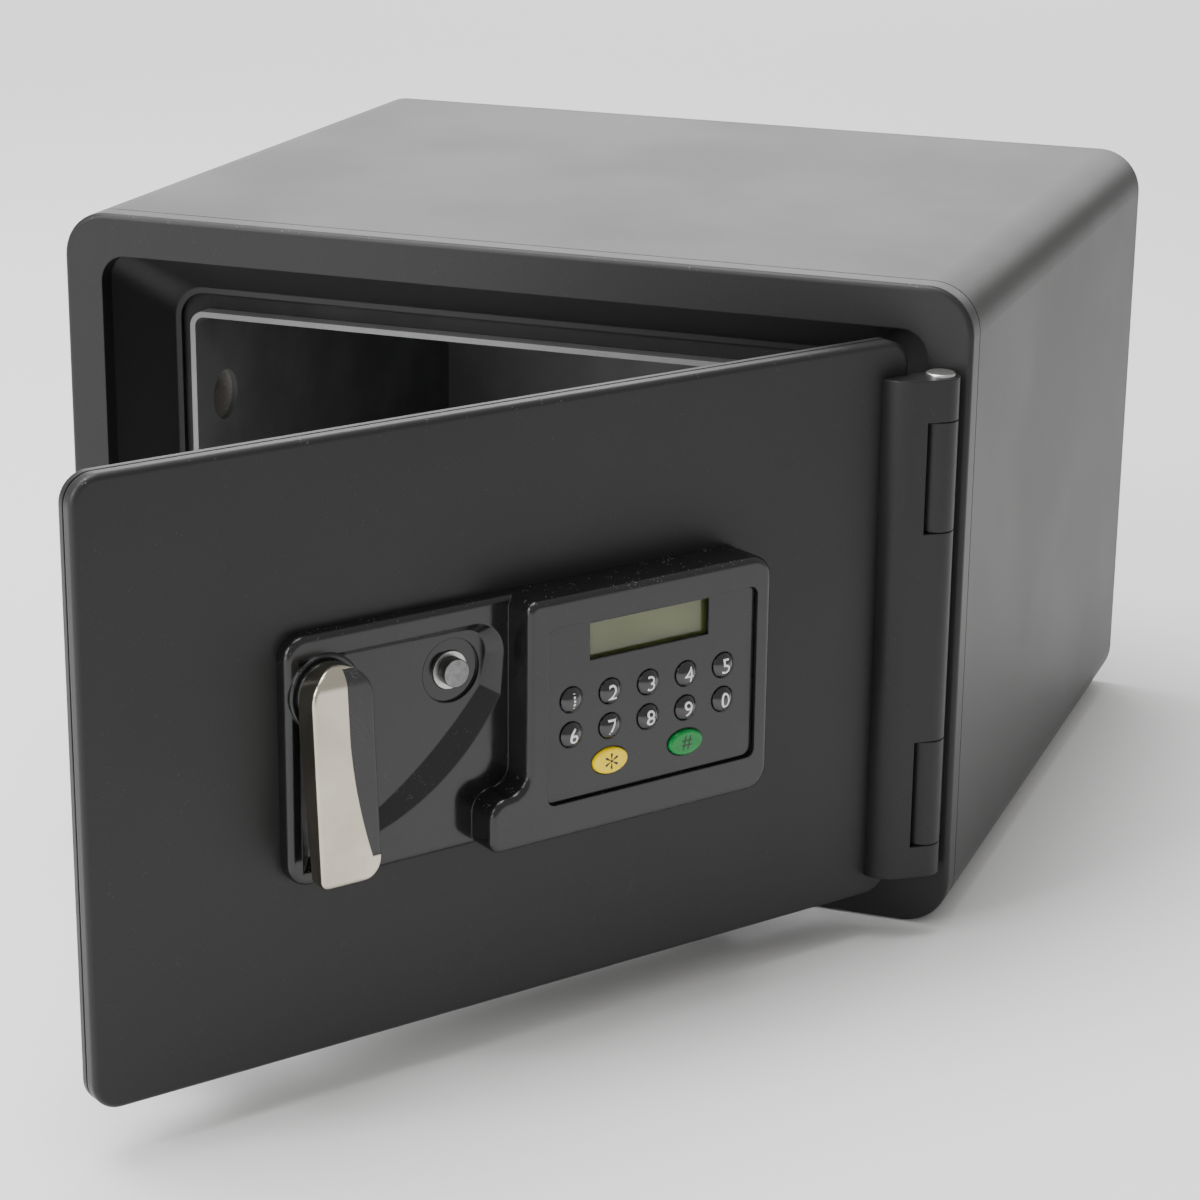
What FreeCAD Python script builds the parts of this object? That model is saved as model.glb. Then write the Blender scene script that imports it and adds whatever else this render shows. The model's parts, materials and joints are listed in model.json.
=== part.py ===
"""Fire-resistant safe with an outside hinge, a keypad lock and a turning lever.

Millimetres. The origin is the centre of the base. +X is to the right as seen from the front, +Y goes
into the safe and +Z is up. The door pieces are drawn with the door closed and then turned about the
hinge axis to the half-open position in which the model rests. "Depth" is measured from the front face
of the body into the safe. "Height" is measured from the closed door's face towards the viewer.
"""
import FreeCAD, Part
import os
from math import cos, sin, radians, hypot
from FreeCAD import Vector

os.makedirs("parts", exist_ok=True)

# ---- body ----
WIDTH = 450.0
BODY_HEIGHT = 302.0
DEPTH = 366.0
CORNER = 22.0
JACKET_WALL = 1.5
BACK_WALL = 3.0
BAND = 12.0                 # depth of the frame's own side band
BAND_SEAM = 0.8             # open joint between the frame's band and the jacket
RIM = 20.0                  # width of the frame's flat front face
OPENING_CORNER = 13.0
STRAIGHT = 9.5              # depth of the straight recess that holds the door plate
FUNNEL_DEPTH = 36.0
FUNNEL_INSET = 20.4         # how far the slanted wall comes in
LIP = 3.0
FRAME_BACK = 39.0
SEAL_WIDTH = 7.8
SEAL_DEPTH = 4.0
LINER_FRONT = 30.0
LINER_WALL = 2.8
LINER_DRAFT = 4.5
CAVITY_BACK = 338.0
LINER_CORNER = 7.5

# ---- hinge ----
HINGE_X = 213.3             # pin axis, from the middle of the body
HINGE_OUT = 9.0             # pin axis, in front of the body's face
REST_ANGLE = 55.6           # how far the door stands open
BARREL_R = 8.7
PIN_R = 3.5
PIN_FIT = 0.05
PIN_HEAD_R = 6.6
PIN_HEAD = 1.6
LEAF_BOTTOM = 31.0
LEAF_TOP = 265.0
LEAF_FOOT_R = 13.0          # rounding of the leaf's left side, where it lies on the door
LEAF_FOOT_X = 201.0
KNUCKLE_LENGTH = 50.0
KNUCKLE_GAP = 0.5
KNUCKLE_Z = (46.5, 195.5)
KNUCKLE_SLOT_X = 202.5      # left edge of the leaf's cut-outs
KNUCKLE_FOOT = 14.0

# ---- door ----
DOOR_GAP = 2.0
DOOR_CORNER = 12.0
SKIN = 6.0
EDGE_GROOVE = 1.0
DOOR_PLATE = 10.0
DOOR_EDGE_R = 2.5
BLOCK_BACK = 28.5
BLOCK_GAP = 6.0
BLOCK_CORNER = 14.0
COVER_LEFT = -157.0
COVER_RIGHT = 140.0
COVER_BOTTOM = 66.0
COVER_TOP = 240.0
COVER_BACK = 84.0
COVER_WALL = 1.5
COVER_CORNER = 8.0
COVER_FLANGE = 8.0
SCREW_R = 1.7
SCREW_HEAD_R = 3.4
SCREW_HEAD = 1.8
SCREW_LENGTH = 10.0

# ---- bolts ----
BOLT_R = 10.0
BOLT_DEPTH = 60.0
BOLT_Z = (104.0, 202.0)
BOLT_TIP_X = -164.0
BOLT_TAIL_X = -116.0
BOLT_THROW = 22.0
BOLT_FIT = 0.08
BOLT_HOLE_R = 12.5
BOLT_CHAMFER = 2.0
BAR_PLATE = 4.0
BAR_END = 12.0
BAR_CLEAR = 2.0             # room round the crank disc in the bar
TAB_DEPTH = 67.0
TAB_PLATE = 3.0
GUIDE_WALL = 2.5
GUIDE_LENGTH = 14.0
GUIDE_COLLAR = 2.0

# ---- lever and its drive ----
LEVER_X = -100.2
LEVER_Z = 179.5
LEVER_TURN = 90.0
LEVER_WIDTH = 28.0
LEVER_TIP = 75.0            # from the pivot down to the lever's lower end
LEVER_BACK = 11.2           # height of the lever's back, beside the pivot
LEVER_FRONT = 21.5          # height of the lever's front, level with its top
LEVER_LEAN = 6.0            # how much further out the lower end stands
LEVER_END = 8.0             # thickness at the lower end
LEVER_BEND = 14.0           # from the pivot down to where the back starts to lean out
LEVER_CROWN_R = 9.8        # rounding over the top
LEVER_END_R = 3.0
LEVER_CORNERS = (3.5, 9.0)  # lower left and lower right corner
LEVER_EDGE_R = 1.6
LEVER_OVER = 0.6            # the side outline runs past the front outline by this
# edge of the black grip, as X and Z from the pivot: straight down, then curved to the right
GRIP_EDGE = ((1.6, 20.0), (1.8, -17.0), (5.3, -47.0), (9.5, -65.0))
GRIP_DEEP = 3.5
GRIP_SINK = 0.3             # the grip lies this much below the metal round it
SPINDLE_R = 5.0
SPINDLE_FIT = 0.06
HUB_R = 10.0
HUB_FOOT = 1.0              # gap between the hub and the door's face
HUB_GAP = 0.3
SPINDLE_TOP = 16.0
CRANK_R = 18.0
CRANK_PIN_R = 3.0
CRANK_PLATE = 4.0
CRANK_BOSS = 6.0
CRANK_SLACK = 0.35
TAB_MARGIN = 5.0

# ---- lock panel ----
PANEL_LEFT = -117.5
PANEL_RIGHT = 112.0
PANEL_BOTTOM = 98.5
PANEL_TOP = 204.0
PANEL_CORNER = 10.0
LOW = 7.0                   # height of the low part
HIGH = 22.0                 # height of the raised keypad part
STEP_X = -13.0
STEP_FOOT_X = -31.0
STEP_Z = 113.0
MOULD_WALL = 2.5
MOULD_EDGE_R = 3.0
BAY_FLOOR = 3.0
# outline of the bay that the lever sweeps over, as X and Z from the pivot: lower left corner, start
# and end of a short rise, middle and end of a long curve, then the upper right corner in the same way
BAY_RIM = ((-11.3, -75.0), (6.7, -75.0), (20.2, -66.0), (54.7, -49.5), (83.2, -17.5), (84.7, 0.5),
           (80.6, 10.9), (70.7, 15.0), (-11.3, 15.0))
BAY_BED = ((-6.3, -70.0), (5.5, -70.0), (23.2, -58.5), (50.2, -39.0), (75.7, -13.0), (78.7, 0.5),
           (75.5, 8.6), (67.7, 11.8), (-6.3, 12.0))
RING_R = 16.2
RING_RISE = 1.5             # the ring's base stands this far above the low part
RING_STEP = 2.6
RING_STEP_RISE = 1.9

KEY_PLATE_X = (-3.5, 104.3)
KEY_PLATE_Z = (114.0, 191.2)
KEY_PLATE_H = 20.0
KEY_PLATE_THICK = 2.0
KEY_PLATE_EDGE = 2.0
KEY_PITCH_X = 19.6
KEY_PITCH_Z = 15.3
KEY_FIRST_X = 9.4
KEY_TOP_Z = 158.2
KEY_R = 5.4
KEY_RISE = 2.8
KEY_DOME = 2.3              # how much the middle of a round key stands above its rim
KEY_GAP = 0.35
KEY_FLANGE = 1.0
KEY_TRAVEL = 1.2
KEY_STEM_R = 2.2
KEY_STEM_GAP = 0.4
OVAL_X = 8.7
OVAL_Z = 5.6
OVAL_RISE = 1.8
WINDOW_X = (18.6, 79.8)
WINDOW_Z = (173.6, 189.6)
GLASS_H = 17.2
GLASS = 0.5
DISPLAY_THICK = 3.2
DISPLAY_EDGE = 3.0
BOARD_H = 10.5
BOARD_THICK = 1.6
BOARD_MARGIN = 1.0
POST_R = 3.0
POST_INSET = 6.0

CAP_X = -38.3
CAP_Z = 175.3
CAP_R = 6.0
CAP_H = 7.6
DISH_R = 13.6
CAP_SEAT = 1.2              # the cap's rim stands this far above the dish floor
CAP_EDGE_R = 0.5
CAP_STEM_R = 3.6
CAP_STEM = 9.0
CAP_STEM_FIT = 0.06
DISH_FLOOR = 1.6
LOCK_R = 8.0
LOCK_LENGTH = 12.0          # the lock reaches this far behind the fire block

# ---- battery case ----
CELL_R = 7.1
CELL_LENGTH = 50.0
CELL_COUNT = 4
CELL_FIT = 0.5
CASE_WALL = 1.6
CASE_X = 62.0
CASE_Z = 150.0
CASE_TOP_DEPTH = 92.0
CASE_SPACE = 2.0            # room at each end of a cell
LID_CORNER = 3.0
LID_EDGE_R = 0.8
NOTCH_HALF = 8.0
NOTCH_Z = (10.0, 5.0)       # finger notch, measured down from the lid's upper edge
NOTCH_CORNER = 2.4

FRONT = -DEPTH / 2
HINGE_Y = FRONT - HINGE_OUT
EPS = 0.01


def at_depth(depth):
    """Y of a plane that lies this far behind the body's front face."""
    return FRONT + depth


def at_height(height):
    """Y of a plane that stands this far in front of the closed door."""
    return FRONT - height


# ---- shape helpers ----
def rounded_wire(x0, x1, z0, z1, radius, y):
    """Rounded rectangle in the plane Y = y."""
    radius = min(radius, (x1 - x0) / 2 - EPS, (z1 - z0) / 2 - EPS)
    corners = ((x1 - radius, z0 + radius, 270), (x1 - radius, z1 - radius, 0),
               (x0 + radius, z1 - radius, 90), (x0 + radius, z0 + radius, 180))
    arcs = []
    for cx, cz, start in corners:
        p = [Vector(cx + radius * cos(radians(start + a)), y, cz + radius * sin(radians(start + a)))
             for a in (0, 45, 90)]
        arcs.append(p)
    edges = []
    for this, following in zip(arcs, arcs[1:] + arcs[:1]):
        edges.append(Part.Arc(*this).toShape())
        edges.append(Part.makeLine(this[2], following[0]))
    return Part.Wire(edges)


def rounded_block(x0, x1, z0, z1, radius, y0, y1):
    """Rounded rectangle drawn out along Y from y0 to y1."""
    return Part.Face(rounded_wire(x0, x1, z0, z1, radius, y0)).extrude(Vector(0, y1 - y0, 0))


def centred_block(inset, radius, y0, y1):
    """Block that follows the body's outline, this far inside it."""
    return rounded_block(-WIDTH / 2 + inset, WIDTH / 2 - inset, inset, BODY_HEIGHT - inset, radius, y0, y1)


def tapered_block(inset0, r0, y0, inset1, r1, y1):
    """Like centred_block, with another inset at the far end."""
    ends = [rounded_wire(-WIDTH / 2 + i, WIDTH / 2 - i, i, BODY_HEIGHT - i, r, y)
            for i, r, y in ((inset0, r0, y0), (inset1, r1, y1))]
    return Part.makeLoft(ends, True, True)


def box(x0, x1, y0, y1, z0, z1):
    return Part.makeBox(x1 - x0, y1 - y0, z1 - z0, Vector(x0, y0, z0))


def rod_y(x, z, radius, y0, y1):
    """Round bar along Y."""
    return Part.makeCylinder(radius, y1 - y0, Vector(x, y0, z), Vector(0, 1, 0))


def rod_x(y, z, radius, x0, x1):
    """Round bar along X."""
    return Part.makeCylinder(radius, x1 - x0, Vector(x0, y, z), Vector(1, 0, 0))


def rod_z(x, y, radius, z0, z1):
    """Round bar along Z."""
    return Part.makeCylinder(radius, z1 - z0, Vector(x, y, z0), Vector(0, 0, 1))


def oval_y(x, z, half_x, half_z, y0, y1):
    """Ellipse drawn out along Y, with its long half axis along X."""
    ellipse = Part.Ellipse(Vector(x + half_x, y0, z), Vector(x, y0, z + half_z), Vector(x, y0, z))
    return Part.Face(Part.Wire(ellipse.toShape())).extrude(Vector(0, y1 - y0, 0))


def edges_on_plane(shape, y):
    """Edges that lie wholly in the plane Y = y."""
    return [e for e in shape.Edges if abs(e.BoundBox.YMin - y) < EPS and abs(e.BoundBox.YMax - y) < EPS]


def soften(shape, y, radius):
    """Round the edges that lie in the plane Y = y."""
    return shape.makeFillet(radius, edges_on_plane(shape, y))


def hang(shape):
    """Turn a door piece from the closed position to the position in which the model rests."""
    turned = shape.copy()
    turned.rotate(Vector(HINGE_X, HINGE_Y, 0), Vector(0, 0, 1), REST_ANGLE)
    return turned


def save(name, shape):
    if shape.ShapeType == "Compound" and len(shape.Solids) == 1:
        shape = shape.Solids[0]
    shape.exportStep("parts/%s.step" % name)


# ---- body pieces ----
LIP_INSET = RIM + FUNNEL_INSET
SEAL_INSET = LIP_INSET + LIP
LINER_INSET = SEAL_INSET + SEAL_WIDTH
CAVITY_INSET = LINER_INSET + LINER_WALL


def front_frame():
    """Front ring: flat face, rounded outer edge, straight recess, slanted wall and narrow inner lip."""
    band = soften(centred_block(0, CORNER, at_depth(0), at_depth(BAND)), at_depth(0), DOOR_EDGE_R)
    neck = centred_block(JACKET_WALL, CORNER - JACKET_WALL, at_depth(BAND), at_depth(FRAME_BACK))
    recess = centred_block(RIM, OPENING_CORNER, at_depth(-1), at_depth(STRAIGHT))
    funnel = tapered_block(RIM, OPENING_CORNER, at_depth(STRAIGHT), LIP_INSET, OPENING_CORNER + LIP,
                           at_depth(FUNNEL_DEPTH))
    throat = centred_block(SEAL_INSET, OPENING_CORNER, at_depth(FUNNEL_DEPTH - EPS), at_depth(FRAME_BACK + 1))
    return band.fuse(neck).removeSplitter().cut(recess).cut(funnel).cut(throat)


def outer_jacket():
    """Wrapped sheet that makes the top, the sides and the bottom."""
    start = at_depth(BAND + BAND_SEAM)
    end = at_depth(DEPTH - BACK_WALL)
    return centred_block(0, CORNER, start, end).cut(
        centred_block(JACKET_WALL, CORNER - JACKET_WALL, start - 1, end + 1))


def back_panel():
    return centred_block(0, CORNER, at_depth(DEPTH - BACK_WALL), at_depth(DEPTH))


def liner_outside():
    front = at_depth(LINER_FRONT)
    back = at_depth(CAVITY_BACK + LINER_WALL)
    return tapered_block(LINER_INSET, LINER_CORNER, front, LINER_INSET + LINER_DRAFT, LINER_CORNER, back)


def inner_liner():
    """Moulded inner box with a slight draft and two round holes that the bolts enter."""
    inner_corner = LINER_CORNER - LINER_WALL
    cavity = tapered_block(CAVITY_INSET, inner_corner, at_depth(LINER_FRONT - EPS),
                           CAVITY_INSET + LINER_DRAFT, inner_corner, at_depth(CAVITY_BACK))
    liner = liner_outside().cut(cavity)
    for z in BOLT_Z:
        liner = liner.cut(rod_x(at_depth(BOLT_DEPTH), z, BOLT_HOLE_R, -WIDTH / 2, -WIDTH / 4))
    return liner


def jamb_seal():
    """Dark strip in the groove between the frame's lip and the liner's rim."""
    y0 = at_depth(FRAME_BACK)
    y1 = y0 + SEAL_DEPTH
    ring = centred_block(SEAL_INSET - LIP, OPENING_CORNER, y0, y1)
    return ring.cut(liner_outside())


def body_insulation():
    """Fire-resistant filling between the jacket, the liner and the back."""
    y0 = at_depth(FRAME_BACK)
    filling = centred_block(JACKET_WALL, CORNER - JACKET_WALL, y0, at_depth(DEPTH - BACK_WALL))
    filling = filling.cut(liner_outside())
    groove = centred_block(SEAL_INSET - LIP, OPENING_CORNER, y0 - 1, y0 + SEAL_DEPTH)
    filling = filling.cut(groove)
    pocket_end = BOLT_TIP_X - BOLT_THROW - BOLT_HOLE_R / 2
    for z in BOLT_Z:
        pocket = rod_x(at_depth(BOLT_DEPTH), z, BOLT_HOLE_R, pocket_end, -WIDTH / 4)
        filling = filling.cut(pocket)
    return filling


def hinge_knuckle(z0):
    """Body-side knuckle: a drilled round with a foot that stands on the frame's face."""
    z1 = z0 + KNUCKLE_LENGTH
    barrel = rod_z(HINGE_X, HINGE_Y, BARREL_R, z0, z1)
    foot = box(HINGE_X - KNUCKLE_FOOT / 2, HINGE_X + KNUCKLE_FOOT / 2, HINGE_Y, at_depth(0), z0, z1)
    return barrel.fuse(foot).removeSplitter().cut(rod_z(HINGE_X, HINGE_Y, PIN_R + PIN_FIT, z0 - 1, z1 + 1))


# ---- door pieces, drawn closed ----
DOOR_HALF = WIDTH / 2 - RIM - DOOR_GAP
DOOR_BOTTOM = RIM + DOOR_GAP - 1.0
DOOR_TOP = BODY_HEIGHT - DOOR_BOTTOM
CRANK_DEPTH = TAB_DEPTH - TAB_PLATE - CRANK_SLACK - CRANK_PLATE
SPINDLE_END = CRANK_DEPTH + CRANK_PLATE
PITCH = BOLT_THROW / radians(LEVER_TURN)       # radius at which the crank pin gives the bolts' travel


def through_door(shape, radius, x, z):
    """Cut a round passage for a shaft through a door layer."""
    return shape.cut(rod_y(x, z, radius, at_height(HIGH * 2), at_depth(BLOCK_BACK + 2)))


def door_skin():
    """Front plate with a rounded front edge."""
    plate = rounded_block(-DOOR_HALF, DOOR_HALF, DOOR_BOTTOM, DOOR_TOP, DOOR_CORNER, at_depth(0),
                          at_depth(SKIN))
    plate = soften(plate, at_depth(0), DOOR_EDGE_R)
    plate = through_door(plate, SPINDLE_R + 1, LEVER_X, LEVER_Z)
    return through_door(plate, LOCK_R + EPS, CAP_X, CAP_Z)


def door_back_plate():
    """Second plate behind the skin, with a thin groove between the two along the edge."""
    neck = rounded_block(-DOOR_HALF + EDGE_GROOVE, DOOR_HALF - EDGE_GROOVE, DOOR_BOTTOM + EDGE_GROOVE,
                         DOOR_TOP - EDGE_GROOVE, DOOR_CORNER - EDGE_GROOVE, at_depth(SKIN),
                         at_depth(SKIN + EDGE_GROOVE))
    rest = rounded_block(-DOOR_HALF, DOOR_HALF, DOOR_BOTTOM, DOOR_TOP, DOOR_CORNER,
                         at_depth(SKIN + EDGE_GROOVE), at_depth(DOOR_PLATE))
    plate = neck.fuse(rest).removeSplitter()
    plate = through_door(plate, SPINDLE_R + 1, LEVER_X, LEVER_Z)
    return through_door(plate, LOCK_R + EPS, CAP_X, CAP_Z)


def door_fire_block():
    """Tapered filling behind the door plates. It follows the slanted wall of the frame."""
    slope = FUNNEL_INSET / (FUNNEL_DEPTH - STRAIGHT)
    back_inset = RIM + BLOCK_GAP + slope * (BLOCK_BACK - STRAIGHT)
    block = tapered_block(RIM + BLOCK_GAP, BLOCK_CORNER, at_depth(DOOR_PLATE), back_inset, BLOCK_CORNER,
                          at_depth(BLOCK_BACK))
    block = through_door(block, SPINDLE_R + 1, LEVER_X, LEVER_Z)
    return through_door(block, LOCK_R + EPS, CAP_X, CAP_Z)


def screw_spots():
    """Places of the screws that hold the inner cover."""
    edge = COVER_FLANGE / 2
    xs = (COVER_LEFT + COVER_FLANGE * 2.5, (COVER_LEFT + COVER_RIGHT) / 2, COVER_RIGHT - COVER_FLANGE * 2.5)
    return [(x, z) for x in xs for z in (COVER_BOTTOM - edge, COVER_TOP + edge)]


def cover_inside(depth0):
    w = COVER_WALL
    return rounded_block(COVER_LEFT + w, COVER_RIGHT - w, COVER_BOTTOM + w, COVER_TOP - w, COVER_CORNER - w,
                         at_depth(depth0), at_depth(COVER_BACK - w))


def door_cover():
    """Pressed pan on the inside of the door. It hides the bolt work and carries the battery case."""
    y0 = at_depth(BLOCK_BACK)
    pan = rounded_block(COVER_LEFT, COVER_RIGHT, COVER_BOTTOM, COVER_TOP, COVER_CORNER, y0,
                        at_depth(COVER_BACK))
    pan = soften(pan, at_depth(COVER_BACK), COVER_CORNER / 2)
    flange = rounded_block(COVER_LEFT, COVER_RIGHT, COVER_BOTTOM - COVER_FLANGE, COVER_TOP + COVER_FLANGE,
                           COVER_CORNER, y0, y0 + COVER_WALL)
    cover = pan.fuse(flange).removeSplitter().cut(cover_inside(BLOCK_BACK - 1))
    for z in BOLT_Z:
        hole = rod_x(at_depth(BOLT_DEPTH), z, BOLT_R + GUIDE_WALL, COVER_LEFT - 1, COVER_LEFT + 2 * COVER_WALL)
        cover = cover.cut(hole)
    for x, z in screw_spots():
        cover = cover.cut(rod_y(x, z, SCREW_R + EPS, y0 - 1, y0 + 2 * COVER_WALL))
    half_x, half_z = case_half()
    mouth = box(CASE_X - half_x, CASE_X + half_x, at_depth(COVER_BACK - 2 * COVER_WALL),
                at_depth(COVER_BACK + 1), CASE_Z - half_z, CASE_Z + half_z)
    return cover.cut(mouth)


def cover_screws():
    """Round-headed screws along the cover's top and bottom flanges."""
    screws = []
    top = at_depth(BLOCK_BACK + COVER_WALL)
    for x, z in screw_spots():
        head = soften(rod_y(x, z, SCREW_HEAD_R, top, top + SCREW_HEAD), top + SCREW_HEAD, SCREW_HEAD / 2)
        shank = rod_y(x, z, SCREW_R, top - SCREW_LENGTH, top)
        screws.append(head.fuse(shank).removeSplitter())
    return Part.makeCompound(screws)


def pierced_fire_block():
    """The fire block with holes for the cover screws."""
    block = door_fire_block()
    top = at_depth(BLOCK_BACK + COVER_WALL)
    for x, z in screw_spots():
        block = block.cut(rod_y(x, z, SCREW_R, top - SCREW_LENGTH, top))
    return block


def bolt_guides():
    """Two bushes in the cover's side wall that the bolts slide in."""
    bushes = []
    y = at_depth(BOLT_DEPTH)
    for z in BOLT_Z:
        outer = rod_x(y, z, BOLT_R + GUIDE_WALL, COVER_LEFT, COVER_LEFT + GUIDE_LENGTH)
        collar = rod_x(y, z, BOLT_R + GUIDE_WALL + GUIDE_COLLAR, COVER_LEFT + COVER_WALL,
                       COVER_LEFT + COVER_WALL + GUIDE_COLLAR)
        bore = rod_x(y, z, BOLT_R + BOLT_FIT, COVER_LEFT - 1, COVER_LEFT + GUIDE_LENGTH + 1)
        bushes.append(outer.fuse(collar).removeSplitter().cut(bore))
    return Part.makeCompound(bushes)


def hinge_leaf():
    """Long door-side leaf: rounded where it lies on the door, then a barrel round the pin."""
    foot = rod_z(LEAF_FOOT_X, at_depth(0), LEAF_FOOT_R, LEAF_BOTTOM, LEAF_TOP)
    foot = foot.cut(box(DOOR_HALF, DOOR_HALF + 2 * LEAF_FOOT_R, at_depth(-2 * LEAF_FOOT_R),
                        at_depth(2 * LEAF_FOOT_R), LEAF_BOTTOM - 1, LEAF_TOP + 1))
    barrel = rod_z(HINGE_X, HINGE_Y, BARREL_R, LEAF_BOTTOM, LEAF_TOP)
    dx = HINGE_X - LEAF_FOOT_X
    dy = HINGE_Y - at_depth(0)
    span = hypot(dx, dy)
    # outer common tangent of the two rounds, on the front side
    turn = (LEAF_FOOT_R - BARREL_R) / span
    side = (1 - turn * turn) ** 0.5
    ux, uy = dx / span, dy / span
    nx, ny = ux * turn + uy * side, uy * turn - ux * side
    outline = [Vector(LEAF_FOOT_X, at_depth(0), LEAF_BOTTOM),
               Vector(LEAF_FOOT_X + LEAF_FOOT_R * nx, at_depth(0) + LEAF_FOOT_R * ny, LEAF_BOTTOM),
               Vector(HINGE_X + BARREL_R * nx, HINGE_Y + BARREL_R * ny, LEAF_BOTTOM),
               Vector(HINGE_X, HINGE_Y, LEAF_BOTTOM),
               Vector(HINGE_X, HINGE_Y + BARREL_R, LEAF_BOTTOM),
               Vector(DOOR_HALF, at_depth(0), LEAF_BOTTOM)]
    web = Part.Face(Part.makePolygon(outline + outline[:1])).extrude(Vector(0, 0, LEAF_TOP - LEAF_BOTTOM))
    behind = box(LEAF_FOOT_X - 2 * LEAF_FOOT_R, LEAF_FOOT_X + 2 * LEAF_FOOT_R, at_depth(0),
                 at_depth(2 * LEAF_FOOT_R), LEAF_BOTTOM - 1, LEAF_TOP + 1)
    leaf = foot.fuse([web, barrel]).removeSplitter().cut(behind)
    for z0 in KNUCKLE_Z:
        slot = box(KNUCKLE_SLOT_X, HINGE_X + 2 * BARREL_R, HINGE_Y - 2 * BARREL_R, at_depth(1),
                   z0 - KNUCKLE_GAP, z0 + KNUCKLE_LENGTH + KNUCKLE_GAP)
        leaf = leaf.cut(slot)
    return leaf.cut(rod_z(HINGE_X, HINGE_Y, PIN_R, LEAF_BOTTOM - 1, LEAF_TOP + 1))


def hinge_pin():
    """Full-length pin with a broad flat head that shows as a bright disc on top."""
    shank = rod_z(HINGE_X, HINGE_Y, PIN_R, LEAF_BOTTOM, LEAF_TOP)
    head = rod_z(HINGE_X, HINGE_Y, PIN_HEAD_R, LEAF_TOP, LEAF_TOP + PIN_HEAD)
    top = [e for e in head.Edges if e.BoundBox.ZMin > LEAF_TOP + PIN_HEAD - EPS]
    return head.makeFillet(PIN_HEAD / 2, top).fuse(shank).removeSplitter()


# ---- lock panel ----
def raised_wire(inset, y):
    """Outline of the raised keypad part, with the S-shaped step at its lower left."""
    left, foot, right = STEP_X + inset, STEP_FOOT_X + inset, PANEL_RIGHT - inset
    bottom, top = PANEL_BOTTOM + inset, PANEL_TOP - inset
    r = max(PANEL_CORNER - inset, 1.0)
    swing = (STEP_X - STEP_FOOT_X) / 2
    mid = (left + foot) / 2
    k = cos(radians(45))
    small = r / 2
    z0 = STEP_Z + swing

    def p(x, z):
        return Vector(x, y, z)

    def corner(cx, cz, radius, start):
        return Part.Arc(*[p(cx + radius * cos(radians(start + a)), cz + radius * sin(radians(start + a)))
                          for a in (0, 45, 90)]).toShape()
    edges = [
        Part.makeLine(p(foot + small, bottom), p(right - r, bottom)),
        corner(right - r, bottom + r, r, 270),
        Part.makeLine(p(right, bottom + r), p(right, top - r)),
        corner(right - r, top - r, r, 0),
        Part.makeLine(p(right - r, top), p(left + small, top)),
        corner(left + small, top - small, small, 90),
        Part.makeLine(p(left, top - small), p(left, z0 + swing)),
        Part.Arc(p(left, z0 + swing), p(mid + swing * k, z0 + swing * (1 - k)), p(mid, z0)).toShape(),
        Part.Arc(p(mid, z0), p(mid - swing * k, z0 - swing * (1 - k)), p(foot, z0 - swing)).toShape(),
        Part.makeLine(p(foot, z0 - swing), p(foot, bottom + small)),
        corner(foot + small, bottom + small, small, 180)]
    return Part.Wire(Part.__sortEdges__(edges))


def bay_wire(outline, y):
    """One outline of the sunken bay that the lever sweeps over: lines and two curves."""
    p = [Vector(LEVER_X + x, y, LEVER_Z + z) for x, z in outline]
    return Part.Wire([Part.makeLine(p[0], p[1]), Part.makeLine(p[1], p[2]),
                      Part.Arc(p[2], p[3], p[4]).toShape(), Part.makeLine(p[4], p[5]),
                      Part.Arc(p[5], p[6], p[7]).toShape(), Part.makeLine(p[7], p[8]),
                      Part.makeLine(p[8], p[0])])


def lock_fascia():
    """One glossy moulding: a low part with the lever bay and a raised hollow part for the keypad."""
    base = rounded_block(PANEL_LEFT, PANEL_RIGHT, PANEL_BOTTOM, PANEL_TOP, PANEL_CORNER, at_height(LOW),
                         at_height(0))
    base = soften(base, at_height(LOW), MOULD_EDGE_R)
    raised = Part.Face(raised_wire(0, at_height(0))).extrude(Vector(0, -HIGH, 0))
    raised = soften(raised, at_height(HIGH), MOULD_EDGE_R)
    hollow = Part.Face(raised_wire(MOULD_WALL, at_height(-1))).extrude(Vector(0, -HIGH + MOULD_WALL - 1, 0))
    body = base.fuse(raised).removeSplitter().cut(hollow)
    opening = rounded_block(KEY_PLATE_X[0], KEY_PLATE_X[1], KEY_PLATE_Z[0], KEY_PLATE_Z[1], 4.0,
                            at_height(HIGH + 1), at_height(HIGH - 2 * MOULD_WALL))
    body = body.cut(opening)
    bay = Part.makeLoft([bay_wire(BAY_RIM, at_height(LOW + EPS)), bay_wire(BAY_BED, at_height(BAY_FLOOR))],
                        True, True)
    body = body.cut(bay)
    dish = rod_y(CAP_X, CAP_Z, DISH_R, at_height(LOW + 1), at_height(DISH_FLOOR))
    body = body.cut(dish).cut(rod_y(CAP_X, CAP_Z, LOCK_R + EPS, at_height(LOW), at_height(-1)))
    boss_face = at_height(LOW + RING_RISE)
    boss = soften(rod_y(LEVER_X, LEVER_Z, RING_R, boss_face, at_height(0)), boss_face, RING_RISE * 0.7)
    ring_seat = rod_y(LEVER_X, LEVER_Z, RING_R - RING_STEP, boss_face - 1, at_height(-1))
    return body.fuse(boss).removeSplitter().cut(ring_seat)


def lever_ring():
    """Stepped round collar round the lever's root."""
    face = at_height(LOW + RING_RISE + RING_STEP_RISE)
    outer = soften(rod_y(LEVER_X, LEVER_Z, RING_R - RING_STEP, face, at_height(0)), face, RING_STEP_RISE / 2)
    return outer.cut(rod_y(LEVER_X, LEVER_Z, HUB_R + HUB_GAP, face - 1, at_height(-1)))


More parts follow.
